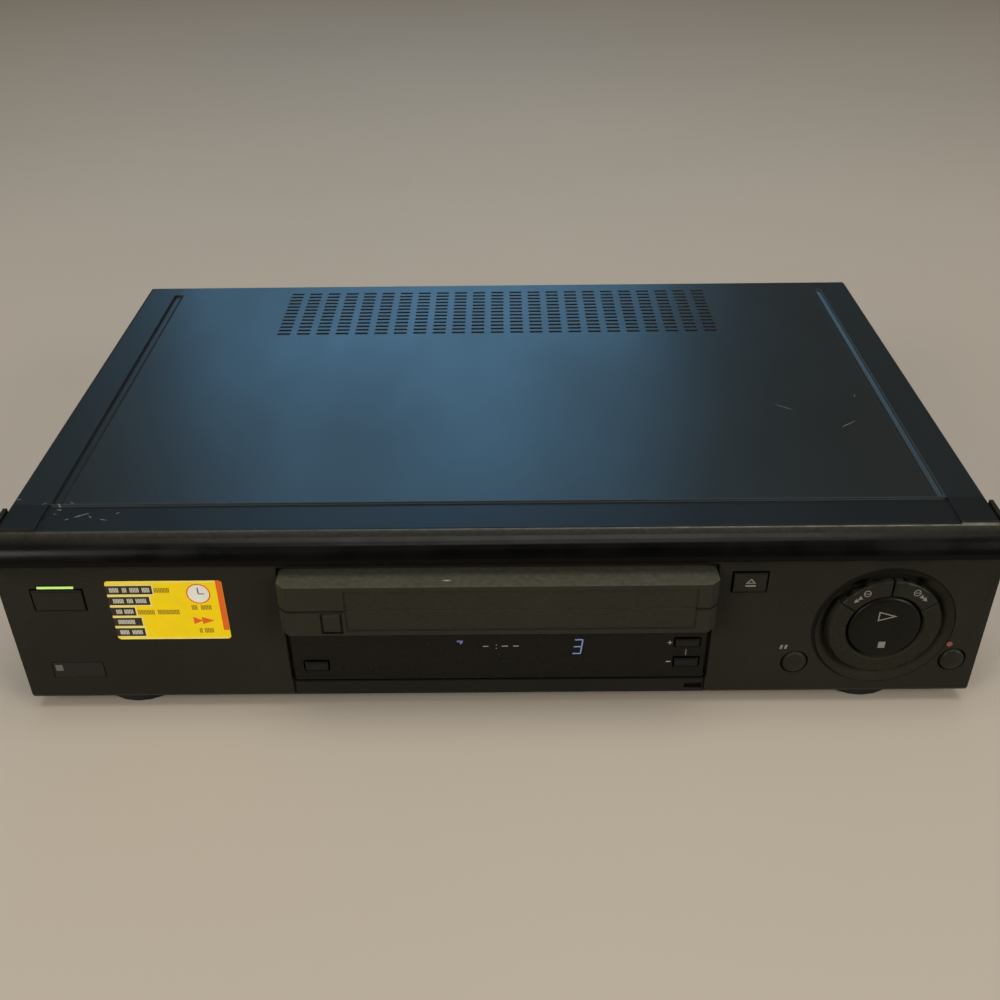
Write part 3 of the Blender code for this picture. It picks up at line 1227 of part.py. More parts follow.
def mechanism_deck():
    plate = rectangle(-DECK_HALF, DECK_HALF, DECK_FRONT, DECK_BACK)
    openings = [circle(pinion_place(), MOTOR_SHAFT_RADIUS + LOOSE, COARSE)]
    for side in (-1, 1):
        openings.append(stadium((side * SLED_START[0], SLED_START[1]), (side * SLED_END[0], SLED_END[1]),
                                SLED_SLOT / 2 + FIT))
    deck = prism("Z", DECK_RISE, DECK_TOP, plate, *openings)
    additions = []
    for side in (-1, 1):
        for place in DECK_LEG_PLACES:
            near, far = place, place + DECK_LEG_WIDTH
            left, right = sorted((side * (DECK_HALF - DECK_SHEET), side * DECK_HALF))
            additions.append(block(left, right, near, far, BASE_TOP + FIT, DECK_RISE + BITE))
            left, right = sorted((side * (DECK_HALF - DECK_FOOT_REACH),
                                  side * (DECK_HALF - DECK_SHEET + BITE)))
            additions.append(block(left, right, near, far, BASE_TOP + FIT, BASE_TOP + FIT + DECK_SHEET))
    for place, top in deck_posts():
        additions.append(rod("Z", DECK_TOP - BITE, top, place, POST_RADIUS, COARSE))
    additions.append(rod("Z", DECK_RISE - BEARING_DROP, DECK_TOP + BEARING_HEIGHT, CAPSTAN_PLACE,
                         BEARING_RADIUS))
    bore = rod("Z", DECK_RISE - BEARING_DROP - OVERRUN, DECK_TOP + BEARING_HEIGHT + OVERRUN, CAPSTAN_PLACE,
               CAPSTAN_RADIUS + FIT)
    finished("mechanism_deck", cut(joined(deck, *additions), bore), "plated steel")


def reel_tables():
    low = DECK_TOP + FIT
    hub_top = low + TABLE_HUB_HEIGHT
    top = low + SPINDLE_HEIGHT
    bore = POST_RADIUS + FIT
    profile = [(bore, low), (TABLE_RADIUS, low), (TABLE_RADIUS, low + TABLE_RIM),
               (TABLE_HUB_RADIUS, low + TABLE_RIM),
               (TABLE_HUB_RADIUS, hub_top), (SPINDLE_RADIUS, hub_top),
               (SPINDLE_RADIUS, top - SPINDLE_RIB_REACH),
               (SPINDLE_RADIUS / 2, top), (0.0, top), (0.0, hub_top), (bore, hub_top)]
    for name, across in (("supply_reel_table", -REEL_HALF), ("take_up_reel_table", REEL_HALF)):
        table = turned("Z", (across, REEL_PLACE), profile, ROUND)
        ribs = []
        for step in range(3):
            angle = 2 * math.pi * step / 3
            inner, outer = SPINDLE_RADIUS - SPINDLE_RIB_REACH, SPINDLE_RADIUS + SPINDLE_RIB_REACH
            start = (across + inner * math.cos(angle), REEL_PLACE + inner * math.sin(angle))
            end = (across + outer * math.cos(angle), REEL_PLACE + outer * math.sin(angle))
            ribs.append(prism("Z", hub_top - BITE, top - 2 * SPINDLE_RIB_REACH,
                              stadium(start, end, SPINDLE_RIB_WIDTH / 2, 1)))
        finished(name, joined(table, *ribs), "gear plastic", (across, REEL_PLACE, low))


def idler():
    low = DECK_TOP + FIT
    pivot = (0.0, IDLER_PIVOT_PLACE)
    wheel = (0.0, IDLER_PIVOT_PLACE - IDLER_ARM_LENGTH)
    arm = prism("Z", low, low + IDLER_ARM_SHEET, stadium(wheel, pivot, IDLER_ARM_WIDTH / 2, 6))
    arm_hole = rod("Z", low - OVERRUN, low + IDLER_ARM_SHEET + OVERRUN, pivot, POST_RADIUS + FIT, COARSE)
    wheel_low = low + IDLER_ARM_SHEET + FIT
    pin = rod("Z", low + IDLER_ARM_SHEET - BITE, wheel_low + IDLER_WHEEL_HEIGHT + LOOSE, wheel,
              IDLER_PIN_RADIUS, COARSE)
    finished("idler_arm", joined(cut(arm, arm_hole), pin), "plated steel", (*pivot, low))
    bore = IDLER_PIN_RADIUS + FIT
    tyre = IDLER_RADIUS - LOOSE
    profile = [(bore, wheel_low), (tyre, wheel_low), (IDLER_RADIUS, wheel_low + LOOSE),
               (IDLER_RADIUS, wheel_low + IDLER_WHEEL_HEIGHT - LOOSE),
               (tyre, wheel_low + IDLER_WHEEL_HEIGHT),
               (bore, wheel_low + IDLER_WHEEL_HEIGHT)]
    finished("idler_wheel", turned("Z", wheel, profile, ROUND), "rubber", (*wheel, wheel_low))


def head_drum():
    level = DECK_TOP + FIT
    split = DECK_TOP + DRUM_SPLIT
    bore = DRUM_SHAFT_RADIUS + FIT
    bottom = DECK_TOP + DRUM_LOWER_BOTTOM
    profile = [(bore, bottom), (DRUM_RADIUS, bottom), (DRUM_RADIUS, split), (bore, split)]
    lower = sloped(turned("Z", DRUM_PLACE, profile, DRUM_FACETS), DRUM_PLACE, DECK_TOP, DRUM_TILT)
    foot = turned("Z", DRUM_PLACE, [(bore + DRUM_STEP, level), (DRUM_FOOT_RADIUS, level),
                                    (DRUM_FOOT_RADIUS, level + DRUM_STEP),
                                    (DRUM_NECK_RADIUS, level + DRUM_STEP),
                                    (DRUM_NECK_RADIUS, bottom + DRUM_FOOT_HEIGHT),
                                    (bore + DRUM_STEP, bottom + DRUM_FOOT_HEIGHT)], ROUND)
    finished("drum_lower", joined(lower, foot), "brushed aluminium", (*DRUM_PLACE, DECK_TOP))
    low = split + FIT
    top = DECK_TOP + DRUM_TOP
    profile = [(DRUM_SHAFT_RADIUS, low), (DRUM_RADIUS, low), (DRUM_RADIUS, top - DRUM_STEP),
               (DRUM_RADIUS - DRUM_STEP, top),
               (DRUM_CAP_RADIUS, top), (DRUM_CAP_RADIUS, top + DRUM_CAP_HEIGHT),
               (0.0, top + DRUM_CAP_HEIGHT),
               (0.0, bottom + DRUM_FOOT_HEIGHT), (DRUM_SHAFT_RADIUS, bottom + DRUM_FOOT_HEIGHT)]
    upper = turned("Z", DRUM_PLACE, profile, DRUM_FACETS)
    reach = DRUM_RADIUS + OVERRUN
    slots = [block(left, right, DRUM_PLACE[1] - HEAD_SLOT / 2, DRUM_PLACE[1] + HEAD_SLOT / 2,
                   low - OVERRUN, low + HEAD_SLOT)
             for left, right in ((-reach, HEAD_SLOT - DRUM_RADIUS), (DRUM_RADIUS - HEAD_SLOT, reach))]
    upper = sloped(cut(upper, *slots), DRUM_PLACE, DECK_TOP, DRUM_TILT)
    finished("drum_upper", upper, "brushed aluminium", (*DRUM_PLACE, DECK_TOP))


def sleds():
    low = DECK_TOP + FIT
    for name, side in (("supply_sled", -1), ("take_up_sled", 1)):
        place = (side * SLED_START[0], SLED_START[1])
        heading = sled_heading(side)
        step = (math.cos(heading), math.sin(heading))

        def lengthwise(reach):
            return (place[0] + reach * step[0], place[1] + reach * step[1])

        half = SLED_LENGTH / 2 - SLED_WIDTH / 2
        plate = prism("Z", low, low + SLED_HEIGHT, stadium(lengthwise(-half), lengthwise(half),
                                                           SLED_WIDTH / 2))
        keel = prism("Z", DECK_RISE - FIT - BITE, low + BITE,
                     stadium(lengthwise(-FIT), lengthwise(FIT), SLED_SLOT / 2))
        foot_low = DECK_RISE - FIT - SLED_FOOT_HEIGHT
        foot = prism("Z", foot_low, DECK_RISE - FIT, stadium(lengthwise(-half), lengthwise(half),
                                                             SLED_FOOT_WIDTH / 2))
        flange = SLED_FLANGE_HEIGHT
        base = low + SLED_HEIGHT
        roller_low = HEAD_RISE
        profile = [(0.0, base - BITE), (POST_RADIUS, base - BITE), (POST_RADIUS, roller_low),
                   (SLED_FLANGE_RADIUS, roller_low),
                   (SLED_FLANGE_RADIUS, roller_low + flange), (SLED_ROLLER_RADIUS, roller_low + flange),
                   (SLED_ROLLER_RADIUS, SLED_POST_TOP - flange),
                   (SLED_FLANGE_RADIUS, SLED_POST_TOP - flange),
                   (SLED_FLANGE_RADIUS, SLED_POST_TOP), (0.0, SLED_POST_TOP)]
        sled = joined(plate, keel, foot, turned("Z", place, profile, COARSE))
        finished(name, sled, "gear plastic", (*place, low))


def capstan():
    top = FLYWHEEL_BOTTOM + FLYWHEEL_HEIGHT
    web = FLYWHEEL_BOTTOM + FLYWHEEL_HEIGHT / 2
    rim = FLYWHEEL_RADIUS - FLYWHEEL_RIM
    profile = [(0.0, FLYWHEEL_BOTTOM), (FLYWHEEL_RADIUS, FLYWHEEL_BOTTOM), (FLYWHEEL_RADIUS, top),
               (rim, top),
               (rim, web), (BEARING_RADIUS, web), (BEARING_RADIUS, top), (CAPSTAN_RADIUS, top),
               (CAPSTAN_RADIUS, CAPSTAN_TOP), (0.0, CAPSTAN_TOP)]
    finished("capstan", turned("Z", CAPSTAN_PLACE, profile, ROUND), "brushed aluminium",
             (*CAPSTAN_PLACE, web))


def pinch():
    low, high = PINCH_ARM_RISE, PINCH_ARM_RISE + PINCH_ARM_SHEET
    arm = prism("Z", low, high, stadium(PINCH_PIVOT_PLACE, PINCH_ROLLER_PLACE, PINCH_ARM_WIDTH / 2, 6))
    sleeve = rod("Z", DECK_TOP + FIT, low + BITE, PINCH_PIVOT_PLACE, PINCH_ARM_WIDTH / 2)
    hole = rod("Z", DECK_TOP - OVERRUN, high + OVERRUN, PINCH_PIVOT_PLACE, POST_RADIUS + FIT, COARSE)
    axle = rod("Z", high - BITE, PINCH_ROLLER_TOP + LOOSE, PINCH_ROLLER_PLACE, PINCH_AXLE_RADIUS, COARSE)
    finished("pinch_arm", joined(cut(joined(arm, sleeve), hole), axle), "plated steel",
             (*PINCH_PIVOT_PLACE, low))
    bore = PINCH_AXLE_RADIUS + FIT
    profile = [(bore, PINCH_ROLLER_BOTTOM), (PINCH_ROLLER_RADIUS, PINCH_ROLLER_BOTTOM),
               (PINCH_ROLLER_RADIUS, PINCH_ROLLER_TOP), (bore, PINCH_ROLLER_TOP)]
    finished("pinch_roller", turned("Z", PINCH_ROLLER_PLACE, profile, ROUND), "rubber",
             (*PINCH_ROLLER_PLACE, PINCH_ROLLER_BOTTOM))


def tape_heads():
    low = DECK_TOP + FIT
    for name, place, size in (("audio_control_head", AUDIO_HEAD_PLACE, AUDIO_HEAD_SIZE),
                              ("full_erase_head", ERASE_HEAD_PLACE, ERASE_HEAD_SIZE)):
        width, depth, height = size
        base = prism("Z", low, low + HEAD_BASE_HEIGHT,
                     middle_rectangle(*place, width + 2 * HEAD_BASE_MARGIN, depth + 2 * HEAD_BASE_MARGIN))
        stem = rod("Z", low + HEAD_BASE_HEIGHT - BITE, HEAD_RISE + BITE, place, POST_RADIUS, COARSE)
        left, right = place[0] - width / 2, place[0] + width / 2
        nose = (place[0], place[1] - depth / 2 + width / 4)
        outline = [(left, place[1] + depth / 2), (left, nose[1])] + arc(nose, width / 4, math.pi,
                                                                        2 * math.pi, 6) \
            + [(right, nose[1]), (right, place[1] + depth / 2)]
        head = prism("Z", HEAD_RISE, HEAD_RISE + height, outline)
        finished(name, joined(base, stem, head), "plated steel", (*place, low))


def pinion_place():
    """Returns the pinion's middle, one gear mesh away from the cam gear's."""
    reach = GEAR_MODULE * (CAM_TEETH + PINION_TEETH) / 2
    return CAM_PLACE[0] + reach * math.cos(PINION_ANGLE), CAM_PLACE[1] + reach * math.sin(PINION_ANGLE)


def loading_drive():
    bore = circle(CAM_PLACE, POST_RADIUS + FIT, COARSE)
    cam = prism("Z", CAM_RISE, CAM_RISE + CAM_HEIGHT, gear(CAM_PLACE, CAM_TEETH, PINION_ANGLE), bore)
    radius, half = CAM_TRACK_RADIUS, CAM_TRACK_WIDTH / 2
    start, end = PINION_ANGLE - math.pi, PINION_ANGLE + math.pi / 3
    track = arc(CAM_PLACE, radius + half, start, end, ROUND) + arc(CAM_PLACE, radius - half, end, start,
                                                                   ROUND)
    top = CAM_RISE + CAM_HEIGHT
    cam = cut(cam, prism("Z", top - CAM_TRACK_DEPTH, top + OVERRUN, track))
    finished("cam_gear", cam, "gear plastic", (*CAM_PLACE, CAM_RISE))

    place = pinion_place()
    half_tooth = math.pi / PINION_TEETH
    low = CAM_RISE - LOOSE
    pinion = prism("Z", low, low + PINION_HEIGHT, gear(place, PINION_TEETH,
                                                       PINION_ANGLE + math.pi + half_tooth))
    can_top = DECK_RISE - FIT
    can_low = BASE_TOP + BASE_SHEET
    shaft = rod("Z", can_top - MOTOR_RADIUS / 2, low + BITE, place, MOTOR_SHAFT_RADIUS, COARSE)
    finished("motor_pinion", joined(pinion, shaft), "brass", (*place, low))
    socket = MOTOR_SHAFT_RADIUS + FIT
    socket_low = can_top - MOTOR_RADIUS / 2 - FIT
    profile = [(0.0, can_low), (MOTOR_RADIUS, can_low), (MOTOR_RADIUS, can_top), (socket, can_top),
               (socket, socket_low), (0.0, socket_low)]
    finished("loading_motor", turned("Z", place, profile, ROUND), "plated steel", (*place, can_low))


# Cassette, its carrier and the door

def cassette_outline(half, front, shoulder, neck, back, corner):
    """Returns a cassette shell seen from above, narrower behind its shoulders."""
    return [(corner - half, front), (half - corner, front), (half, front + corner), (half, shoulder),
            (neck, shoulder),
            (neck, back), (-neck, back), (-neck, shoulder), (-half, shoulder), (-half, front + corner)]


def hub_places():
    """Returns where the two cassette reels are."""
    return [(-REEL_HALF, HUB_BACK), (REEL_HALF, HUB_BACK)]


def cassette_shells():
    low, top = CASSETTE_RISE, CASSETTE_TOP
    split = low + CASSETTE_SPLIT
    shoulder = LID_PIVOT[0] - LID_RADIUS - LID_SWEEP_GAP
    neck = CASSETTE_HALF - LID_CHEEK - LID_SWEEP_GAP
    floor_back = CASSETTE_BACK - LID_THICKNESS - LID_SWEEP_GAP
    wall = CASSETTE_WALL
    half = CASSETTE_HALF - wall
    room_back = shoulder - wall
    chamber = [(CASSETTE_CORNER - half, CASSETTE_FRONT + wall),
               (half - CASSETTE_CORNER, CASSETTE_FRONT + wall),
               (half, CASSETTE_FRONT + wall + CASSETTE_CORNER), (half, room_back), (-half, room_back),
               (-half, CASSETTE_FRONT + wall + CASSETTE_CORNER)]
    wide = CASSETTE_HALF + OVERRUN
    near = CASSETTE_FRONT - OVERRUN
    label_low, label_high = low + LABEL_MARGIN, top - LABEL_MARGIN
    label = block(LABEL_LEFT, LABEL_RIGHT, near, CASSETTE_FRONT + LABEL_DEPTH, label_low, label_high)

    lower = prism("Z", low, split, cassette_outline(CASSETTE_HALF, CASSETTE_FRONT, shoulder, neck,
                                                    floor_back, CASSETTE_CORNER))
    pocket = block(-wide, wide, shoulder, CASSETTE_BACK + OVERRUN, low + wall, split + OVERRUN)
    holes = [rod("Z", low - OVERRUN, low + wall + OVERRUN, place, REEL_HOLE_RADIUS)
             for place in hub_places()]
    tab_low = low + (CASSETTE_SPLIT - TAB_HEIGHT) / 2
    groove = TAB_GROOVE
    tab_deep = CASSETTE_FRONT + TAB_DEPTH
    outer = block(TAB_LEFT, TAB_LEFT + TAB_WIDTH, near, tab_deep, tab_low, tab_low + TAB_HEIGHT)
    inner = block(TAB_LEFT + groove, TAB_LEFT + TAB_WIDTH - groove, near - OVERRUN, tab_deep + OVERRUN,
                  tab_low + groove, tab_low + TAB_HEIGHT - groove)
    lower = cut(lower, prism("Z", low + wall, split + OVERRUN, chamber), pocket, together(*holes),
                cut(outer, inner), label)
    posts = [rod("Z", low + wall - BITE, LID_PIVOT[1] - LID_RADIUS,
                 (side * (neck - GUIDE_POST_INSET), floor_back - GUIDE_POST_INSET),
                 GUIDE_POST_RADIUS, COARSE) for side in (-1, 1)]
    finished("cassette_lower_shell", joined(lower, *posts), "cassette plastic", (0.0, CASSETTE_FRONT, low))

    label = block(LABEL_LEFT, LABEL_RIGHT, near, CASSETTE_FRONT + LABEL_DEPTH, label_low, label_high)
    base = split + FIT
    neck_back = LID_PIVOT[0] + SHELL_NECK_REACH
    upper = prism("Z", base, top, cassette_outline(CASSETTE_HALF, CASSETTE_FRONT, shoulder, neck,
                                                   neck_back, CASSETTE_CORNER))
    ear = LID_PIN_LENGTH + LOOSE
    between = block(ear - neck, neck - ear, shoulder, neck_back + OVERRUN, base - OVERRUN, top - wall)
    under = block(-wide, wide, shoulder, neck_back + OVERRUN, base - OVERRUN * 2, LID_PIVOT[1] - LID_RADIUS)
    upper = cut(upper, prism("Z", base - OVERRUN, top - wall, chamber), between, under, label)
    sockets = [rod("X", *sorted((side * (neck - ear - OVERRUN), side * (neck + OVERRUN))), LID_PIVOT,
                   LID_PIN_RADIUS + FIT, COARSE) for side in (-1, 1)]
    finished("cassette_upper_shell", cut(upper, together(*sockets)), "cassette plastic",
             (0.0, CASSETTE_FRONT, low))


def tape_lid():
    pivot = LID_PIVOT
    low, top = CASSETTE_RISE + LID_HEM, CASSETTE_TOP
    back = CASSETTE_BACK
    cheek_front = back - LID_CHEEK_DEPTH
    cheek_high = CASSETTE_RISE + LID_CHEEK_HEIGHT
    outline = (arc(pivot, LID_RADIUS, math.pi / 2, 3 * math.pi / 2, 8)
               + [(cheek_front, cheek_high), (cheek_front, low), (back, low), (back, top)])
    lid = prism("X", -CASSETTE_HALF, CASSETTE_HALF, outline)
    inner = CASSETTE_HALF - LID_CHEEK
    strip = pivot[0] + LID_STRIP_SETBACK
    far = pivot[0] - LID_RADIUS - OVERRUN
    plate = back - LID_THICKNESS
    room = [(far, low - OVERRUN), (plate, low - OVERRUN), (plate, top - LID_THICKNESS),
            (strip, top - LID_THICKNESS),
            (strip, top + OVERRUN), (far, top + OVERRUN)]
    lid = cut(lid, prism("X", -inner, inner, room))
    pins = [rod("X", *sorted((side * (inner - LID_PIN_LENGTH), side * (inner + BITE))), pivot,
                LID_PIN_RADIUS, COARSE)
            for side in (-1, 1)]
    finished("tape_lid", joined(lid, *pins), "cassette plastic", (0.0, *pivot))


def cassette_reels():
    low = CASSETTE_RISE + LOOSE
    flange_low = CASSETTE_RISE + CASSETTE_WALL + LOOSE
    pack_low = flange_low + REEL_FLANGE
    pack_high = pack_low + TAPE_WIDTH + LOOSE
    top = pack_high + REEL_FLANGE
    for name, place, pack in (("cassette_supply_reel", hub_places()[0], SUPPLY_PACK_RADIUS),
                              ("cassette_take_up_reel", hub_places()[1], TAKE_UP_PACK_RADIUS)):
        profile = [(REEL_TOOTH_BORE, low), (REEL_HUB_RADIUS, low), (REEL_HUB_RADIUS, flange_low),
                   (REEL_FLANGE_RADIUS, flange_low),
                   (REEL_FLANGE_RADIUS, pack_low), (pack, pack_low), (pack, pack_high),
                   (REEL_FLANGE_RADIUS, pack_high),
                   (REEL_FLANGE_RADIUS, top), (0.0, top), (0.0, pack_high), (REEL_TOOTH_BORE, pack_high)]
        reel = turned("Z", place, profile, ROUND)
        teeth = []
        for step in range(REEL_TEETH):
            angle = 2 * math.pi * step / REEL_TEETH
            inner, outer = REEL_TOOTH_BORE - REEL_TOOTH_REACH, REEL_TOOTH_BORE + REEL_TOOTH_REACH
            start = (place[0] + inner * math.cos(angle), place[1] + inner * math.sin(angle))
            end = (place[0] + outer * math.cos(angle), place[1] + outer * math.sin(angle))
            teeth.append(prism("Z", low + LOOSE, pack_high - REEL_FLANGE,
                               stadium(start, end, REEL_TOOTH_WIDTH / 2, 1)))
        finished(name, joined(reel, *teeth), "reel plastic", (*place, low))


def cassette_basket():
    floor_low = BASKET_FLOOR_TOP - BASKET_SHEET
    windows = [rod("Z", floor_low - OVERRUN, BASKET_FLOOR_TOP + OVERRUN, (side * REEL_HALF, HUB_BACK),
                   BASKET_WINDOW_RADIUS) for side in (-1, 1)]
    wall_top = CASSETTE_TOP + FIT
    edge = BASKET_OUTER - BITE
    floor = block(-edge, edge, BASKET_FRONT, BASKET_BACK, floor_low, BASKET_FLOOR_TOP)
    additions = []
    for side in (-1, 1):
        left, right = sorted((side * BASKET_INNER, side * BASKET_OUTER))
        flange_top = wall_top + BASKET_SHEET
        front, back = BASKET_FRONT + BITE, BASKET_BACK - BITE
        outline = [(front, BASKET_FLOOR_TOP - BITE), (back, BASKET_FLOOR_TOP - BITE), (back, CASSETTE_TOP),
                   (BASKET_FLANGE_BACK, CASSETTE_TOP), (BASKET_FLANGE_BACK, flange_top),
                   (BASKET_FLANGE_FRONT, flange_top),
                   (BASKET_FLANGE_FRONT, CASSETTE_TOP), (front, CASSETTE_TOP)]
        additions.append(prism("X", left, right, outline))
        left, right = sorted((side * (BASKET_OUTER - BASKET_FLANGE), side * (BASKET_INNER + BITE)))
        additions.append(block(left, right, BASKET_FLANGE_FRONT, BASKET_FLANGE_BACK, wall_top, flange_top))
        left, right = sorted((side * (BASKET_OUTER - BITE), side * (BASKET_OUTER + BASKET_PIN_LENGTH)))
        for pin in (BASKET_FRONT_PIN, BASKET_REAR_PIN):
            additions.append(rod("X", left, right, pin, BASKET_PIN_RADIUS, COARSE))
    basket = cut(joined(floor, *additions), together(*windows))
    finished("cassette_basket", basket, "plated steel", (0.0, BASKET_FRONT, BASKET_FLOOR_TOP))


def basket_housing():
    """Makes the two slotted side plates and the bridge between them."""
    low = DECK_TOP + FIT
    side_view = rectangle(GUIDE_FRONT, GUIDE_BACK, low, GUIDE_TOP)
    plates = [prism("X", *sorted((side * GUIDE_INNER, side * GUIDE_OUTER)), side_view) for side in (-1, 1)]
    bridge = block(-GUIDE_OUTER + BITE, GUIDE_OUTER - BITE, GUIDE_BRIDGE_FRONT, GUIDE_BRIDGE_BACK,
                   GUIDE_TOP - BITE,
                   GUIDE_TOP + GUIDE_SHEET)
    feet = [block(*sorted((side * (GUIDE_OUTER - BITE), side * (GUIDE_OUTER + GUIDE_FOOT))), GUIDE_FRONT,
                  GUIDE_BACK,
                  low, low + GUIDE_SHEET) for side in (-1, 1)]
    housing = joined(bridge, *plates, *feet)
    reach = GUIDE_OUTER + OVERRUN
    half = BASKET_PIN_RADIUS + GUIDE_SLOT_GAP
    for drop in (False, True):
        slots = []
        for back, up in (BASKET_FRONT_PIN, BASKET_REAR_PIN):
            far = back + BASKET_TRAVEL
            start, end = ((far, up - GUIDE_DROP), (far, up)) if drop else ((back, up), (far, up))
            for side in (-1, 1):
                near, out = sorted((side * (GUIDE_INNER - OVERRUN), side * reach))
                slots.append(prism("X", near, out, stadium(start, end, half)))
        housing = cut(housing, together(*slots))
    finished("basket_housing", housing, "plated steel")


def cassette_door():
    half = SLOT_HALF - DOOR_SIDE_GAP
    low = CASSETTE_TOP + FIT
    front = BASE_FRONT
    door = block(-half, half, front, front + DOOR_DEPTH, low, low + DOOR_THICKNESS)
    pins = [rod("X", *sorted((side * (half - BITE), side * (half + DOOR_PIN_LENGTH))), door_axis(),
                DOOR_PIN_RADIUS, COARSE)
            for side in (-1, 1)]
    finished("cassette_door", joined(door, *pins), "panel plastic", (0.0, *door_axis()))


# Boards, modules and sockets

def side_bay(side, width):
    """Returns the left and right edges of a board in a side bay."""
    outer = BASE_HALF - BOARD_SIDE_GAP
    return sorted((side * outer, side * (outer - width)))


def standing_board(left, right, front, back, parts):
    """Makes a board on four legs, with its components on top."""
    low = BASE_TOP + FIT
    rise = BASE_TOP + BOARD_RISE
    board = block(left, right, front, back, rise, rise + BOARD_SHEET)
    inset = 2 * BOARD_LEG_RADIUS
    legs = [rod("Z", low, rise + BITE, (across, place), BOARD_LEG_RADIUS, COARSE)
            for across in (left + inset, right - inset) for place in (front + inset, back - inset)]
    return joined(board, *legs, *parts(rise + BOARD_SHEET))


def main_board():
    left, right = side_bay(-1, MAIN_BOARD_WIDTH)

    length = MAIN_BOARD_BACK - MAIN_BOARD_FRONT

    def parts(top):
        shapes = []
        for (across, width, depth), share in zip(MAIN_CHIPS, MAIN_CHIP_SHARES):
            front = MAIN_BOARD_FRONT + share * length
            shapes.append(block(left + across, left + across + width, front, front + depth, top - BITE,
                                top + CHIP_HEIGHT))
        for (across, radius, tall), share in zip(MAIN_CANS, MAIN_CAN_SHARES):
            place = (left + across, MAIN_BOARD_FRONT + share * length)
            shapes.append(rod("Z", top - BITE, top + tall, place, radius, COARSE))
        return shapes

    board = standing_board(left, right, MAIN_BOARD_FRONT, MAIN_BOARD_BACK, parts)
    finished("main_board", board, "board laminate")


def power_board():
    left, right = side_bay(1, POWER_BOARD_WIDTH)

    length = POWER_BOARD_BACK - POWER_BOARD_FRONT

    def parts(top):
        shapes = []
        for (across, width, depth), share in zip(HEAT_SINKS, HEAT_SINK_SHARES):
            front = POWER_BOARD_FRONT + share * length
            shapes.append(block(left + across, left + across + width, front, front + depth, top - BITE,
                                top + HEAT_SINK_HEIGHT))
        for (across, radius, tall), share in zip(POWER_CANS, POWER_CAN_SHARES):
            place = (left + across, POWER_BOARD_FRONT + share * length)
            shapes.append(rod("Z", top - BITE, top + tall, place, radius, COARSE))
        return shapes

    board = standing_board(left, right, POWER_BOARD_FRONT, POWER_BOARD_BACK, parts)
    finished("power_board", board, "brown laminate")


def power_transformer():
    left, right = side_bay(1, POWER_BOARD_WIDTH)
    width, depth, height = TRANSFORMER_SIZE
    across = (left + right) / 2
    low = BASE_TOP + BOARD_RISE + BOARD_SHEET + FIT
    core = block(across - width / 2, across + width / 2, TRANSFORMER_PLACE - depth * CORE_SHARE / 2,
                 TRANSFORMER_PLACE + depth * CORE_SHARE / 2, low, low + height)
    coil_half = width * CORE_SHARE / 2 + depth * CORE_SHARE / 4
    coil = block(across - coil_half, across + coil_half, TRANSFORMER_PLACE - depth / 2,
                 TRANSFORMER_PLACE + depth / 2,
                 low + height * (1 - CORE_SHARE) / 2, low + height * (1 + CORE_SHARE) / 2)
    finished("power_transformer", joined(core, softened(coil, depth / 8)), "plated steel",
             (across, TRANSFORMER_PLACE, low))


def aerial_places():
    """Returns the middles of the two aerial sockets on the rear panel."""
    middle = TUNER_SIDE_GAP + TUNER_WIDTH / 2 - BASE_HALF
    up = TUNER_RISE + TUNER_HEIGHT / 2
    return [(middle - AERIAL_SPREAD, up), (middle + AERIAL_SPREAD, up)]


def tuner_module():
    left = TUNER_SIDE_GAP - BASE_HALF
    back = REAR_PANEL_FRONT - FIT
    front = back - TUNER_DEPTH
    box = block(left, left + TUNER_WIDTH, front, back, TUNER_RISE, TUNER_RISE + TUNER_HEIGHT)
    inset = 2 * BOARD_LEG_RADIUS
    legs = [rod("Z", BASE_TOP + FIT, TUNER_RISE + BITE, (across, place), BOARD_LEG_RADIUS, COARSE)
            for across in (left + inset, left + TUNER_WIDTH - inset)
            for place in (front + inset, back - inset)]
    sockets = []
    for place in aerial_places():
        profile = [(AERIAL_BORE, REAR_REACH), (AERIAL_BORE, REAR_PANEL_BACK), (0.0, REAR_PANEL_BACK),
                   (0.0, back - BITE),
                   (AERIAL_RADIUS, back - BITE), (AERIAL_RADIUS, REAR_REACH)]
        sockets.append(turned("Y", place, profile, COARSE))
    finished("tuner_module", joined(box, *legs, *sockets), "plated steel", (left, back, TUNER_RISE))


def rear_jack_places():
    """Returns the middles of the sockets on the rear panel."""
    return [(REAR_JACK_ACROSS + (column - (REAR_JACK_COLUMNS - 1) / 2) * REAR_JACK_PITCH,
             REAR_JACK_HEIGHT + row * REAR_JACK_PITCH)
            for column in range(REAR_JACK_COLUMNS) for row in range(REAR_JACK_ROWS)]


def rear_jack_block():
    places = rear_jack_places()
    back = REAR_PANEL_FRONT - FIT
    front = back - REAR_JACK_BLOCK_DEPTH
    left, right = places[0][0] - REAR_JACK_MARGIN, places[-1][0] + REAR_JACK_MARGIN
    low, high = places[0][1] - REAR_JACK_MARGIN, places[-1][1] + REAR_JACK_MARGIN
    body = block(left, right, front, back, low, high)
    inset = 2 * BOARD_LEG_RADIUS
    legs = [rod("Z", BASE_TOP + FIT, low + BITE, (across, (front + back) / 2), BOARD_LEG_RADIUS, COARSE)
            for across in (left + inset, right - inset)]
    reach = REAR_PANEL_BACK + REAR_JACK_PROUD
    shells = []
    for place in places:
        profile = [(JACK_BORE, reach), (JACK_BORE, back + FIT), (0.0, back + FIT), (0.0, back - BITE),
                   (JACK_RADIUS, back - BITE), (JACK_RADIUS, reach)]
        shells.append(turned("Y", place, profile, COARSE))
    finished("rear_jack_block", joined(body, *legs, *shells), "jack plastic", (REAR_JACK_ACROSS, back, low))


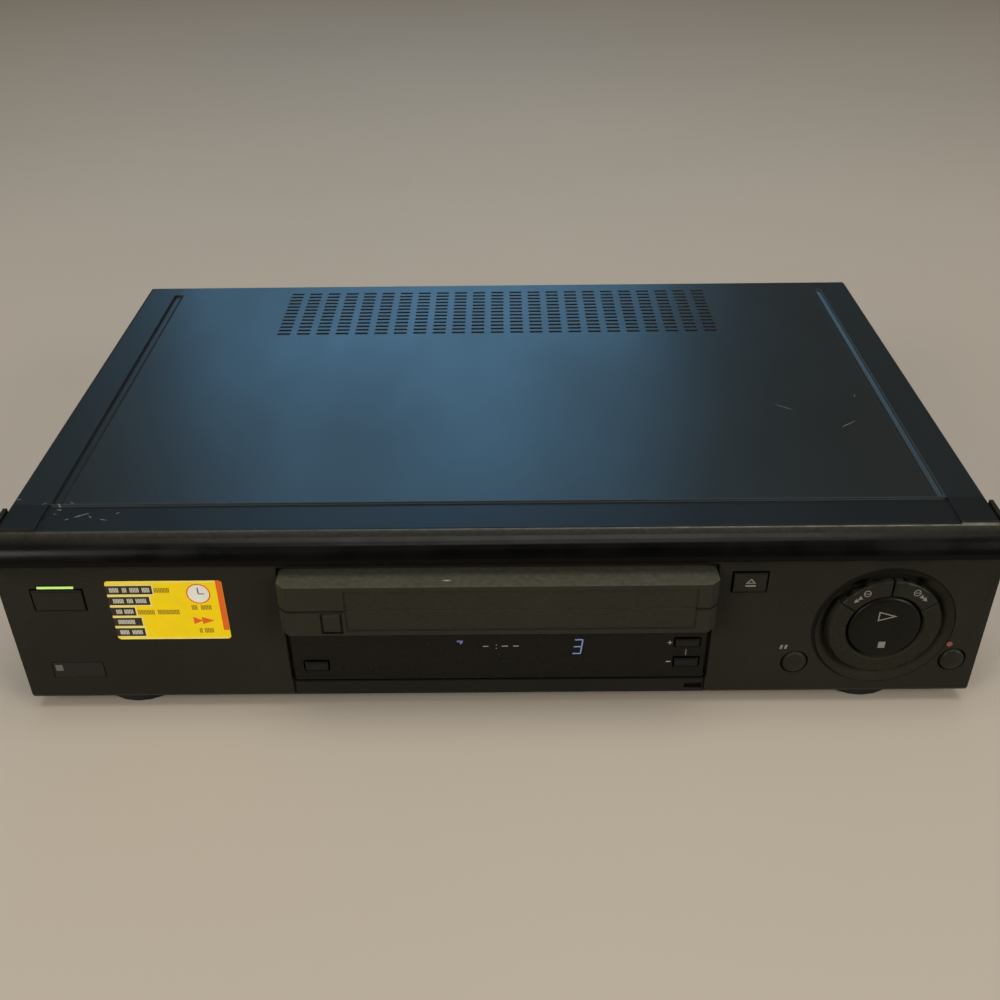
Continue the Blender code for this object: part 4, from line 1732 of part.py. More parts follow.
def cord_gland():
    face = REAR_PANEL_BACK + FIT
    inner = REAR_PANEL_FRONT - GLAND_DEPTH
    profile = [(GLAND_BORE, face + GLAND_FLANGE), (GLAND_FLANGE_RADIUS, face + GLAND_FLANGE),
               (GLAND_FLANGE_RADIUS, face),
               (GLAND_RADIUS, face), (GLAND_RADIUS, inner), (GLAND_BORE, inner)]
    finished("cord_gland", turned("Y", GLAND_PLACE, profile, ROUND), "rubber",
             (GLAND_PLACE[0], face, GLAND_PLACE[1]))


for leftover in list(bpy.data.objects):
    bpy.data.objects.remove(leftover)
RECORDER = bpy.data.objects.new("recorder", None)
bpy.context.scene.collection.objects.link(RECORDER)
RECORDER.location = (0.0, FACE_PLACE, STAND_HEIGHT)

base_chassis()
rear_panel()
front_panel()
top_cover()
cover_screws()
feet()
display_window()
display_tube()
front_board()
control_board()
power_light_pipe()
sensor_window()
dial_dish()
ring_buttons()
play_stop_rocker()
rectangular_key("power_button", POWER_KEY, BIG_KEY_PROUD, BIG_KEY_DEPTH)
rectangular_key("eject_button", EJECT_KEY, BIG_KEY_PROUD, BIG_KEY_DEPTH)
rectangular_key("source_button", SOURCE_KEY, KEY_PROUD, KEY_DEPTH)
rectangular_key("channel_up_button", CHANNEL_UP_KEY, KEY_PROUD, KEY_DEPTH)
rectangular_key("channel_down_button", CHANNEL_DOWN_KEY, KEY_PROUD, KEY_DEPTH)
round_key("pause_button", PAUSE_PLACE)
round_key("record_button", RECORD_PLACE)
input_flap()
front_jack_block()
mechanism_deck()
reel_tables()
idler()
head_drum()
sleds()
capstan()
pinch()
tape_heads()
loading_drive()
cassette_shells()
tape_lid()
cassette_reels()
cassette_basket()
basket_housing()
cassette_door()
main_board()
power_board()
power_transformer()
tuner_module()
rear_jack_block()
cord_gland()
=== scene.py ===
"""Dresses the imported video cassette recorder: finishes, key marks, display, label and light.

Marks and small parts are placed in millimetres in the recorder's face frame: X to the
right, Y back from the flat front face and Z up from that face's lower edge.
"""

import json
import math

import bmesh
import bpy
from bpy.props import FloatProperty, FloatVectorProperty, PointerProperty
from bpy.types import Operator, Panel, PropertyGroup
from mathutils import Matrix, Vector
from mathutils.bvhtree import BVHTree

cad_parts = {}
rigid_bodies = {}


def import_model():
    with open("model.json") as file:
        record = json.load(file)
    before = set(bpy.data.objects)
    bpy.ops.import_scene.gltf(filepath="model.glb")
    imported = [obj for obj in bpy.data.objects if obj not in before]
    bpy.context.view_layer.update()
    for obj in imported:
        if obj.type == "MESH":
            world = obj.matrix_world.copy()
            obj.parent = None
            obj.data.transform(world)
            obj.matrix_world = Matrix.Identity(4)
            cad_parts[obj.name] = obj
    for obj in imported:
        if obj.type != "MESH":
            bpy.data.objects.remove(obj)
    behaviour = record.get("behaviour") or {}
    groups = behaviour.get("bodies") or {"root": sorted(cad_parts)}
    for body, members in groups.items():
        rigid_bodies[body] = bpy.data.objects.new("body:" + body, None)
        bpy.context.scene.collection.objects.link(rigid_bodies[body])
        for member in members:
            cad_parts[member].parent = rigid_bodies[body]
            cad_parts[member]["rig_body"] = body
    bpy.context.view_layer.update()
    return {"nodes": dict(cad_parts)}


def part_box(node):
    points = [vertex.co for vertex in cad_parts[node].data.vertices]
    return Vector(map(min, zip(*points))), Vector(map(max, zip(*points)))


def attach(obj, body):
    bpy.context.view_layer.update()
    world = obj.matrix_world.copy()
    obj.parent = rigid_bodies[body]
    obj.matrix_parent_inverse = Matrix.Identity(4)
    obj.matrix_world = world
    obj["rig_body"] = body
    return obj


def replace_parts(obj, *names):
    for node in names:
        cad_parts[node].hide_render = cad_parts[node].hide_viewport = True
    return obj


bl_info = {
    "name": "Cassette Recorder Dressing",
    "version": (1, 0, 0),
    "blender": (4, 5, 0),
    "location": "3D View > Sidebar > Recorder",
    "description": "Finishes, marks, label, sockets and stage for a front-loading cassette recorder",
    "category": "Object",
}

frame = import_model()
NODES = frame["nodes"]

MM = 0.001
# Where rays start that look for a node's front, in millimetres back from the face
RAY_START = -40.0
STAND_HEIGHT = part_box("foot_front_left")[1].z
FACE_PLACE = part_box("display_window")[0].y
COVER_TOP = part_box("top_cover")[1].z
DIAL_MIDDLE = (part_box("dial_dish")[0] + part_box("dial_dish")[1]) / 2

# Measures of the pieces that their boxes don't tell, in metres
KEY_GAP = 0.0006
KEY_FLANGE = 0.0012
FLAP_PIN_LENGTH = 0.0016
BROW_HEIGHT = 0.0135
BROW_SETBACK = 0.0075
BAND_DEPTH = 0.0288
GROOVE_PLACE = 0.1927
GROOVE_HALF = 0.0021
GROOVE_MARGIN = 0.0105
LIT_GROOVE = 0.1940
STRIP_EDGE = 0.1915
BAND_END = 0.1945
DIAL_OPENING = 0.0308
DIAL_SHADOW = Vector((-0.0012, 0.0, 0.0008))
CASSETTE_SPLIT = 0.0126
LID_ENDS = (-0.0645, 0.0835)
NICK_PLACE = (-0.0214, -0.0066)

FEET = ("foot_front_left", "foot_front_right", "foot_rear_left", "foot_rear_right")

# The colour of dust, which also serves as painted light on faces that look up
TOP_LIGHT_AND_DUST = (0.116, 0.110, 0.080)
# The width over which the painted shadow round a key fades, in metres
FRAME_FADE = 0.0002
# How far down the power lamp its lit core lies, as a share of its height
LAMP_CORE_DOWN = 0.6

# Scuffs on the cover: across, back, half length and half width in millimetres, and lean in degrees
COVER_SCUFFS = ((-179.6, 21.4, 3.4, 0.52, 31), (-190.7, 26.0, 1.2, 0.34, -1), (-186.1, 30.1, 1.1, 0.30, -37),
                (-191.5, 22.5, 0.8, 0.34, -1), (-185.1, 18.1, 1.0, 0.32, 42), (-175.5, 19.9, 1.1, 0.28, -44),
                (-169.1, 17.5, 1.8, 0.24, -12), (-164.4, 23.0, 1.0, 0.26, 43), (-198.1, 29.5, 1.0, 0.28, 30),
                (-191.4, 28.9, 1.4, 0.34, -43), (-210.7, 33.5, 1.2, 0.30, -1), (142.2, 116.7, 5.6, 0.22, -39),
                (170.0, 98.1, 5.1, 0.28, 39), (180.3, 128.6, 1.2, 0.28, -94))

# The dial's signs: key, side, and degrees up the ring of both arrows and of the ringed bar
DIAL_SIGNS = (("rewind", 1, (47.0, 41.4), 59.8), ("forward", -1, (49.0, 43.4), 61.0))
# An arrowhead's corners on the ring: degrees from its place, and radius in millimetres
ARROW_CORNERS = ((5.4, 20.2), (5.4, 22.4), (-0.4, 21.3))
SEARCH_SIGN_RADIUS = 21.75

# The places of the rear and aerial sockets, and the pitch of the aerial thread, in millimetres
SOCKET_MARGIN = 8.0
SOCKET_PITCH = 14.0
SOCKET_ROWS = (("lower", 28.0), ("upper", 42.0))
AERIAL_REACH = 12.0
AERIAL_HEIGHT = 32.0
THREAD_PITCH = 0.5

# The cassette's windows: from its middle outwards, and back from its front, in millimetres
WINDOW_SPAN = (27.0, 76.0)
WINDOW_DEPTH = (28.0, 68.0)

# The lamps: name, place, the point that they look at, width and height, colour and spread in degrees
LAMPS = (("top", (0.1, -0.30, 2.0), (0.0, 0.0, 0.05), (1.4, 1.2), (1.0, 0.98, 0.95), 180),
         ("left", (-1.9, -1.9, 1.2), (0.0, -0.1, 0.05), (1.2, 1.2), (1.0, 0.97, 0.92), 180),
         ("right", (2.0, -1.7, 1.2), (0.0, -0.1, 0.05), (1.2, 1.2), (1.0, 0.97, 0.92), 180),
         ("window", (-0.22, 2.6, 1.3), (0.0, 0.0, 0.09), (1.35, 1.2), (0.22, 0.59, 1.0), 60))

# The label's bars as shares of its width and height: where each ends, its top and its foot
LABEL_ROWS = ((0.395, 0.078, 0.219), (0.355, 0.263, 0.400), (0.212, 0.443, 0.581), (0.248, 0.622, 0.760),
              (0.254, 0.802, 0.940))
# The pale dashes in its bars: row, start and end
LABEL_DASHES = ((0, 0.030, 0.115), (0, 0.140, 0.180), (0, 0.205, 0.290), (0, 0.310, 0.375), (1, 0.040, 0.135),
                (1, 0.160, 0.210), (1, 0.235, 0.330), (2, 0.045, 0.095), (2, 0.115, 0.190), (3, 0.040, 0.190),
                (4, 0.035, 0.115), (4, 0.140, 0.230))
# The brown dashes beside them: start, end and height
LABEL_LINES = ((0.41, 0.545, 0.135), (0.23, 0.385, 0.505), (0.405, 0.60, 0.505), (0.705, 0.765, 0.43),
               (0.785, 0.88, 0.43), (0.735, 0.765, 0.83), (0.78, 0.86, 0.83))
LABEL_LEFT = 0.0005
LABEL_MARGIN = 0.022
LABEL_TICK = 0.0085
LABEL_TICK_PITCH = 0.0135


def face_point(across, up, depth=0.0):
    """Returns a point given in millimetres in the face frame."""
    return Vector((across * MM, FACE_PLACE + depth * MM, STAND_HEIGHT + up * MM))


def depth_of(node):
    """Returns how far back a node reaches, in millimetres in the face frame."""
    return (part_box(node)[1].y - FACE_PLACE) / MM


# Finishes

class Finish:
    """A material whose nodes are wired from the object's own coordinates."""

    def __init__(self, name):
        self.material = bpy.data.materials.new(name)
        self.material.use_nodes = True
        self.tree = self.material.node_tree
        self.shader = self.tree.nodes["Principled BSDF"]
        self.place = self.node("ShaderNodeTexCoord").outputs["Object"]

    def node(self, kind, settings=None, **sockets):
        """Adds a node; a socket's value may be another node's output."""
        made = self.tree.nodes.new(kind)
        for key, value in (settings or {}).items():
            setattr(made, key, value)
        for key, value in sockets.items():
            self.feed(made.inputs[key.replace("_", " ")], value)
        return made

    def feed(self, socket, value):
        if isinstance(value, bpy.types.NodeSocket):
            self.tree.links.new(value, socket)
        else:
            socket.default_value = value

    def axes(self, vector=None):
        """Splits a vector, or else the place, into X, Y and Z."""
        return self.node("ShaderNodeSeparateXYZ", Vector=self.place if vector is None else vector).outputs

    def facing(self):
        """Returns the way that a face looks."""
        return self.node("ShaderNodeNewGeometry").outputs["Normal"]

    def calculate(self, operation, first, second=0.0):
        made = self.node("ShaderNodeMath", {"operation": operation})
        self.feed(made.inputs[0], first)
        self.feed(made.inputs[1], second)
        return made.outputs[0]

    def product(self, first, *others):
        """Multiplies masks and numbers together."""
        for other in others:
            first = self.calculate("MULTIPLY", first, other)
        return first

    def away(self, value, middle):
        """Returns how far a value lies from a middle, either way."""
        return self.calculate("ABSOLUTE", self.calculate("SUBTRACT", value, middle))

    def vectors(self, operation, first, second, output="Value"):
        """Works on two vectors."""
        made = self.node("ShaderNodeVectorMath", {"operation": operation})
        self.feed(made.inputs[0], first)
        self.feed(made.inputs[1], second)
        return made.outputs[output]

    def noise(self, scale, detail=3.0, stretch=None):
        """Returns cloudy noise at a scale in repeats per metre."""
        place = self.place
        if stretch:
            place = self.node("ShaderNodeMapping", Vector=place, Scale=stretch).outputs[0]
        return self.node("ShaderNodeTexNoise", Vector=place, Scale=scale, Detail=detail).outputs[0]

    def spread(self, value, low, high, start=0.3, end=0.7):
        """Maps a value between start and end to low and high."""
        made = self.node("ShaderNodeMapRange", Value=value)
        for name, number in (("From Min", start), ("From Max", end), ("To Min", low), ("To Max", high)):
            made.inputs[name].default_value = number
        return made.outputs[0]

    def clouds(self, scale, detail=3.0, low=0.0, high=1.0):
        """Returns soft patches between low and high."""
        return self.spread(self.noise(scale, detail), low, high)

    def above(self, value, start, end, full=1.0):
        """Returns a mask that rises from nothing at start to full at end."""
        return self.spread(value, 0.0, full, start, end)

    def below(self, value, start, end, full=1.0):
        """Returns a mask that falls from full at start to nothing at end."""
        return self.spread(value, full, 0.0, start, end)

    def line(self, value, middle, inner, outer):
        """Returns a mask that is full within inner of a middle and fades out at outer."""
        return self.below(self.away(value, middle), inner, outer)

    def spot(self, middle, half_sizes, lean=0.0, inner=0.70, outer=1.20):
        """Returns a mask over an ellipse that leans by some degrees, seen from above."""
        turn = (0.0, 0.0, math.radians(lean))
        inside = self.node("ShaderNodeMapping", {"vector_type": "TEXTURE"}, Vector=self.place,
                           Location=middle, Rotation=turn, Scale=half_sizes).outputs[0]
        reach = self.node("ShaderNodeVectorMath", {"operation": "LENGTH"}, Vector=inside).outputs["Value"]
        return self.below(reach, inner, outer)

    def blend(self, share, first, second):
        """Mixes two colours by a share."""
        made = self.node("ShaderNodeMix", {"data_type": "RGBA"})
        for index, value in ((0, share), (6, first), (7, second)):
            self.feed(made.inputs[index], (*value, 1.0) if isinstance(value, tuple) else value)
        return made.outputs[2]

    def worn_edges(self, radius):
        """Returns how near a point is to an edge, broken up as wear is, and the rounded normal."""
        rounded = self.node("ShaderNodeBevel", {"samples": 4}, Radius=radius).outputs[0]
        flat = self.node("ShaderNodeNewGeometry").outputs["True Normal"]
        edge = self.below(self.vectors("DOT_PRODUCT", rounded, flat), 0.86, 0.995)
        return self.product(edge, self.clouds(140.0, 3.0, 0.15, 1.0)), rounded

    def bumped(self, height, strength, distance, under=None):
        made = self.node("ShaderNodeBump", Strength=strength, Distance=distance, Height=height)
        if under is not None:
            self.feed(made.inputs["Normal"], under)
        return made.outputs[0]

    def surface(self, colour, roughness, metallic=0.0, specular=0.5, normal=None):
        """Wires the shader and returns the material."""
        self.feed(self.shader.inputs["Base Color"], (*colour, 1.0) if isinstance(colour, tuple) else colour)
        self.feed(self.shader.inputs["Roughness"], roughness)
        self.shader.inputs["Metallic"].default_value = metallic
        self.shader.inputs["Specular IOR Level"].default_value = specular
        if normal is not None:
            self.feed(self.shader.inputs["Normal"], normal)
        return self.material

    def lit_surface(self, colour, strength):
        """Wires the shader for a lit mark, which gives its own light, and returns the material."""
        self.feed(self.shader.inputs["Emission Color"], colour)
        self.shader.inputs["Emission Strength"].default_value = strength
        return self.surface(colour, 0.35)


def shade(colour, factor):
    return tuple(channel * factor for channel in colour)


def dust_and_top_light(finish, start):
    """Returns how much dust and painted top light lie on a face, by how far it looks up."""
    lying = finish.above(finish.axes(finish.facing())["Z"], start, 1.0)
    return finish.product(lying, lying, finish.clouds(500.0, 3.0, 0.6, 1.0))


def moulded_skin(finish, colour, roughness, grain, depth, edge, painted_shade=0.0, dust_and_light=0.0):
    """Returns the colour, roughness and normal of a moulded face."""
    worn, rounded = finish.worn_edges(edge)
    body = finish.blend(finish.clouds(22.0, 5.0), shade(colour, 0.86), shade(colour, 1.14))
    speckle = finish.above(finish.noise(1300.0, 2.0), 0.52, 0.78, 0.5)
    body = finish.blend(speckle, body, tuple(min(1.0, channel * 2.0 + 0.008) for channel in colour))
    # Faces that look up get dust and painted top light
    if dust_and_light:
        body = finish.blend(finish.product(dust_and_top_light(finish, 0.35), dust_and_light), body, TOP_LIGHT_AND_DUST)
    # Painted shade darkens the edges beside gaps, where shade falls; otherwise the edges are paler with wear
    if painted_shade:
        body = finish.blend(finish.product(worn, painted_shade), body, shade(colour, 0.12))
    else:
        paler_edge = tuple(channel * 1.9 + 0.012 for channel in colour)
        body = finish.blend(finish.product(worn, 0.45), body, paler_edge)
    rough = finish.clouds(60.0, 4.0, roughness - 0.06, roughness + 0.08)
    return body, rough, finish.bumped(finish.noise(grain, 2.0), 0.35, depth, rounded)


def moulded_plastic(name, colour, roughness=0.5, grain=2600.0, depth=0.00002, specular=0.3, edge=0.0003,
                    painted_shade=0.0, dust_and_light=0.0):
    """Moulded plastic: a fine spark-eroded grain, faint handling marks, paler worn edges unless painted shade
    darkens them, and dust with painted top light where asked.
    """
    finish = Finish(name)
    body, rough, normal = moulded_skin(finish, colour, roughness, grain, depth, edge, painted_shade, dust_and_light)
    return finish.surface(body, rough, specular=specular, normal=normal)


def panel_plastic(colour):
    """The front panel's plastic: grained on the flat face and deeper black on the rounded brow, with dust and
    painted highlights on the brow and lower edge and a painted shadow by the dial.
    """
    finish = Finish("panel_plastic")
    body, rough, normal = moulded_skin(finish, colour, 0.52, 2600.0, 0.00003, 0.0006, 1.0)
    axes = finish.axes()
    low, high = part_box("front_panel")
    foot, back = high.z - BROW_HEIGHT, FACE_PLACE + BROW_SETBACK
    front = finish.below(axes["Y"], back + 0.0005, back + 0.0015)
    brow = finish.product(finish.above(axes["Z"], foot, foot + 0.0006), front)
    body = finish.blend(brow, body, shade(colour, 0.05))
    under = finish.below(axes["Z"], foot + 0.0014, foot + 0.0040)
    rough = finish.calculate("ADD", rough, finish.product(brow, under, 0.5))
    rough = finish.calculate("SUBTRACT", rough, finish.product(brow, 0.24))
    # Dust and a painted highlight lie on the brow's top, more to the back
    fading = finish.calculate("POWER", finish.above(axes["Y"], FACE_PLACE - 0.0030, back), 1.6)
    brow_dust_and_light = finish.product(dust_and_top_light(finish, 0.60), fading, front, 0.38)
    body = finish.blend(brow_dust_and_light, body, TOP_LIGHT_AND_DUST)
    # Its rear edge gets a painted highlight, strongest at the right
    crest_highlight = finish.product(finish.line(axes["Y"], back, 0.0003, 0.0008),
                            finish.spread(axes["X"], 0.15, 0.9, -0.08, 0.16), brow,
                            finish.clouds(190.0, 3.0, 0.3, 1.0))
    body = finish.blend(crest_highlight, body, (0.210, 0.195, 0.155))
    # A painted shadow darkens a crescent round the dial's opening on its upper left
    level = finish.node("ShaderNodeCombineXYZ", X=axes["X"], Z=axes["Z"]).outputs[0]
    shadow = DIAL_MIDDLE + DIAL_SHADOW
    reach = finish.vectors("DISTANCE", level, (shadow.x, 0.0, shadow.z))
    dial_crescent_shadow = finish.below(reach, DIAL_OPENING, DIAL_OPENING + 0.0005, 0.9)
    body = finish.blend(dial_crescent_shadow, body, shade(colour, 0.08))
    # The lower edge gets a painted highlight
    paler_edge = finish.product(finish.below(axes["Z"], low.z + 0.0008, low.z + 0.0013, 0.6),
                            finish.clouds(120.0, 3.0, 0.5, 1.0))
    body = finish.blend(paler_edge, body, (0.050, 0.047, 0.034))
    return finish.surface(body, rough, specular=0.13, normal=normal)


def dish_plastic(colour):
    """The dial's dish: pale with painted light where it faces up, gloss black with painted shade where it
    faces down.
    """
    finish = Finish("dish_plastic")
    body, rough, normal = moulded_skin(finish, shade(colour, 1.35), 0.45, 3000.0, 0.00001, 0.0004, 0.3)
    # Painted light where the dish faces up and painted shade where it faces down
    lean = finish.vectors("DOT_PRODUCT", finish.facing(), (-0.25, 0.0, 0.97))
    body = finish.blend(finish.above(lean, 0.10, 0.60, 0.8), body, shade(colour, 2.3))
    body = finish.blend(finish.below(lean, -0.40, -0.12, 0.97), body, shade(colour, 0.03))
    return finish.surface(body, rough, specular=0.05, normal=normal)


def framed_plastic(node, colour, overhang, top, sides, foot, roughness=0.42, specular=0.25):
    """A key's or flap's plastic with painted shadow: black in the gap round it and along its front's edges,
    as deep as given.
    """
    finish = Finish(f"{node}_plastic")
    body, rough, normal = moulded_skin(finish, colour, roughness, 3200.0, 0.00002, 0.0004, 0.8, 0.2)
    axes = finish.axes()
    low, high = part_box(node)
    middle, half = (low.x + high.x) / 2, (high.x - low.x) / 2 - overhang
    # Painted shadow fills the gap and the front's edges with black
    black = finish.above(axes["Y"], low.y + 0.0003, low.y + 0.0006)
    for place, edge in ((finish.away(axes["X"], middle), half - sides), (axes["Z"], high.z - top)):
        black = finish.calculate("MAXIMUM", black, finish.above(place, edge - FRAME_FADE, edge))
    black = finish.calculate("MAXIMUM", black,
                             finish.below(axes["Z"], low.z + foot, low.z + foot + FRAME_FADE))
    body = finish.blend(black, body, shade(colour, 0.04))
    return finish.surface(body, rough, specular=specular, normal=normal)


def shell_plastic(name, colour, roughness, painted_shade):
    """The cassette's plastic: dust and painted top light above, black along the split beside the lid, and
    black painted shade on the ledge under it.
    """
    finish = Finish(name)
    body, rough, normal = moulded_skin(finish, colour, roughness, 2000.0, 0.00002, 0.0005, painted_shade, 0.5)
    axes = finish.axes()
    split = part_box("cassette_lower_shell")[0].z + CASSETTE_SPLIT
    # Painted shade blackens the ledge under the lid
    ledge = finish.product(finish.above(finish.axes(finish.facing())["Z"], 0.3, 0.6),
                           finish.below(axes["Z"], split - 0.0050, split - 0.0040))
    left, right = LID_ENDS
    beside = finish.calculate("MAXIMUM", finish.below(axes["X"], left - 0.0010, left),
                              finish.above(axes["X"], right, right + 0.0010))
    seam = finish.product(finish.line(axes["Z"], split, 0.0005, 0.0009), beside)
    body = finish.blend(finish.calculate("MAXIMUM", ledge, seam), body, shade(colour, 0.08))
    # A small nick on top, near the front
    across, back = NICK_PLACE
    nick = finish.spot((across, FACE_PLACE + back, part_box("tape_lid")[1].z), (0.0021, 0.0006, 0.004),
                       inner=0.4, outer=1.1)
    body = finish.blend(nick, body, (0.300, 0.290, 0.240))
    return finish.surface(body, rough, specular=0.30, normal=normal)


def cover_paint(settings):
    """Satin baked paint on the steel cover: finely textured and scuffed, with painted shade on the band,
    outer strips and grooves and painted highlights on the bend and right groove.
    """
    finish = Finish("cover_paint")
    worn, rounded = finish.worn_edges(0.0006)
    axes = finish.axes()
    side = finish.calculate("ABSOLUTE", axes["X"])
    paint, strip = tuple(settings.cover), tuple(settings.cover_strip)
    body = finish.blend(finish.clouds(9.0, 5.0), shade(paint, 0.88), shade(paint, 1.14))
    # Painted shade darkens the strips outside the pressed grooves and the pressed band in front
    band_back = FACE_PLACE + BAND_DEPTH
    band = finish.below(axes["Y"], band_back - 0.0003, band_back + 0.0003)
    strip_shade = finish.calculate("MAXIMUM", finish.above(side, STRIP_EDGE, STRIP_EDGE + 0.0025), band)
    body = finish.blend(strip_shade, body, strip)
    body = finish.blend(finish.product(band, 0.6), body, shade(strip, 0.2))
    # The bend behind the band gets a painted highlight
    bend = finish.product(finish.line(axes["Y"], band_back, 0.0003, 0.0009),
                          finish.below(side, BAND_END, BAND_END + 0.0010), 0.9)
    body = finish.blend(bend, body, (0.021, 0.028, 0.031))
    # Painted shade lies against the two walls of each pressed groove, and the right groove gets a painted
    # highlight
    groove_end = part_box("top_cover")[1].y - GROOVE_MARGIN
    grooved = finish.product(finish.above(axes["Y"], band_back, band_back + 0.0005),
                             finish.below(axes["Y"], groove_end - 0.0010, groove_end))
    wall = finish.away(finish.away(side, GROOVE_PLACE), GROOVE_HALF)
    lit = finish.product(grooved, finish.line(axes["X"], LIT_GROOVE, 0.0010, 0.0018))
    right = finish.above(axes["X"], 0.1900, 0.1902, 0.6)
    painted_shade = finish.product(finish.below(wall, 0.0005, 0.0009), grooved,
                           finish.calculate("SUBTRACT", 1.0, right), finish.calculate("SUBTRACT", 1.0, lit))
    body = finish.blend(finish.product(painted_shade, 0.9), body, shade(paint, 0.1))
    body = finish.blend(lit, body, shade(paint, 2.4))
    # Fine texture, scuffs and rubbed edges
    speckle = finish.above(finish.noise(2400.0, 2.0), 0.62, 0.75, 0.5)
    body = finish.blend(speckle, body, shade(paint, 2.6))
    patchy = finish.spread(finish.noise(900.0, 2.0), 0.35, 1.0, 0.35, 0.6)
    body = finish.blend(finish.product(scuffs(finish), patchy), body, (0.165, 0.170, 0.162))
    body = finish.blend(finish.product(worn, 0.16), body, (0.10, 0.11, 0.11))
    smear = finish.noise(14.0, 4.0, (1.0, 0.4, 1.0))
    rough = finish.spread(smear, settings.cover_roughness - 0.04, settings.cover_roughness + 0.06)
    for mask, rougher in ((strip_shade, 0.06), (painted_shade, 0.55)):
        rough = finish.calculate("ADD", rough, finish.product(mask, rougher))
    # The band falls a little towards the front, and the right groove leans to the window
    fall = finish.node("ShaderNodeCombineXYZ", X=finish.product(lit, -0.26),
                       Y=finish.product(band, -0.05)).outputs[0]
    leaning = finish.vectors("ADD", rounded, fall, "Vector")
    normal = finish.bumped(finish.noise(1500.0, 3.0), 0.22, 0.00003, leaning)
    return finish.surface(body, rough, specular=0.30, normal=normal)


def scuffs(finish):
    """Returns how scuffed the cover is at a point."""
    total = 0.0
    for across, back, half_length, half_width, lean in COVER_SCUFFS:
        spot = finish.spot((across * MM, FACE_PLACE + back * MM, COVER_TOP),
                           (half_length * MM, half_width * MM, 4.0 * MM), lean)
        total = finish.calculate("ADD", total, spot)
    return total


def plated_metal(name, colour=(0.55, 0.55, 0.53), roughness=0.34, brushed=(1.0, 0.08, 1.0), tarnish=0.25):
    """Bright plated or bare metal, with rolling or turning marks and a little tarnish."""
    finish = Finish(name)
    worn, rounded = finish.worn_edges(0.0003)
    body = finish.blend(finish.clouds(45.0, 5.0, 0.0, tarnish), colour, shade(colour, 0.55))
    body = finish.blend(worn, body, shade(colour, 1.25))
    lines = finish.noise(900.0, 3.0, brushed)
    rough = finish.spread(lines, roughness - 0.08, roughness + 0.12)
    return finish.surface(body, rough, metallic=1.0, normal=finish.bumped(lines, 0.15, 0.00001, rounded))


def smoked_gloss(name, colour, roughness=0.12, specular=0.5, haze=0.10):
    """Polished smoked plastic with faint wiping marks and dust, and painted shade along its edges."""
    finish = Finish(name)
    worn, rounded = finish.worn_edges(0.0007)
    wiped = finish.noise(240.0, 3.0, (0.15, 1.0, 1.0))
    body = finish.blend(finish.spread(wiped, 0.0, 0.5), colour, shade(colour, 1.5))
    specks = finish.above(finish.noise(1500.0, 1.0), 0.66, 0.74, 0.4)
    body = finish.blend(specks, body, (0.05, 0.048, 0.043))
    # Painted shade along its edges
    body = finish.blend(worn, body, shade(colour, 0.05))
    return finish.surface(body, finish.spread(wiped, roughness, roughness + haze), specular=specular,
                          normal=rounded)


def board_laminate(name, ground, trace, solder=(0.42, 0.43, 0.44)):
    """Circuit board: lacquered ground, copper runs under it and bright solder points."""
    finish = Finish(name)
    runs = finish.node("ShaderNodeTexBrick", {"offset": 0.37}, Vector=finish.place,
                       Scale=160.0).outputs["Fac"]
    wander = finish.above(finish.noise(95.0, 1.0), 0.48, 0.52)
    body = finish.blend(finish.product(runs, 0.8), ground, trace)
    body = finish.blend(finish.product(wander, 0.35), body, trace)
    cells = finish.node("ShaderNodeTexVoronoi", Vector=finish.place, Scale=330.0).outputs["Distance"]
    dots = finish.below(cells, 0.16, 0.22)
    body = finish.blend(dots, body, solder)
    return finish.surface(body, finish.spread(dots, 0.42, 0.25, 0.0, 1.0),
                          normal=finish.bumped(dots, 0.4, 0.0002))


def transformer_finish():
    """Varnished steel laminations with a taped winding between them."""
    finish = Finish("transformer_laminations")
    low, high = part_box("power_transformer")
    layers = finish.node("ShaderNodeTexWave", {"bands_direction": "Y"}, Vector=finish.place,
                         Scale=420.0).outputs["Fac"]
    core = finish.blend(layers, (0.05, 0.045, 0.04), (0.14, 0.12, 0.10))
    tape = finish.blend(finish.clouds(220.0, 2.0), (0.55, 0.42, 0.05), (0.66, 0.52, 0.09))
    depth = high.y - low.y
    winding = finish.above(finish.away(finish.axes()["Y"], (low.y + high.y) / 2), depth * 0.27, depth * 0.29)
    body = finish.blend(winding, core, tape)
    return finish.surface(body, finish.spread(layers, 0.35, 0.6), normal=finish.bumped(layers, 0.5, 0.0001))


def printed_ink(name, colour):
    """Pad-printed ink, a little thin in places."""
    finish = Finish(name)
    thin = finish.above(finish.noise(1800.0, 2.0), 0.45, 0.75, 0.45)
    return finish.surface(finish.blend(thin, colour, shade(colour, 0.55)), 0.5)


def glowing(name, colour, strength):
    """A lit mark: its own colour with a low, uneven glow."""
    finish = Finish(name)
    uneven = finish.blend(finish.clouds(700.0, 2.0, 0.8, 1.1), shade(colour, 0.8), colour)
    return finish.lit_surface(uneven, strength)


def lamp_glow(colour, strength):
    """The power lamp's light pipe: lit along its middle, dark green at its edges."""
    finish = Finish("lamp_green")
    low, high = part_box("power_light_pipe")
    core = high.z - LAMP_CORE_DOWN * (high.z - low.z)
    lit = finish.line(finish.axes()["Z"], core, 0.0004, 0.0008)
    uneven = finish.blend(finish.clouds(160.0, 2.0), shade(colour, 0.82), colour)
    return finish.lit_surface(finish.blend(lit, (0.003, 0.020, 0.002), uneven), strength)


def coated_paper(name, colour):
    """Coated paper with a soft sheen and small creases."""
    finish = Finish(name)
    body = finish.blend(finish.clouds(120.0, 4.0), shade(colour, 0.93), colour)
    crease = finish.noise(260.0, 2.0)
    return finish.surface(body, finish.spread(crease, 0.35, 0.5), specular=0.25,
                          normal=finish.bumped(crease, 0.1, 0.00005))


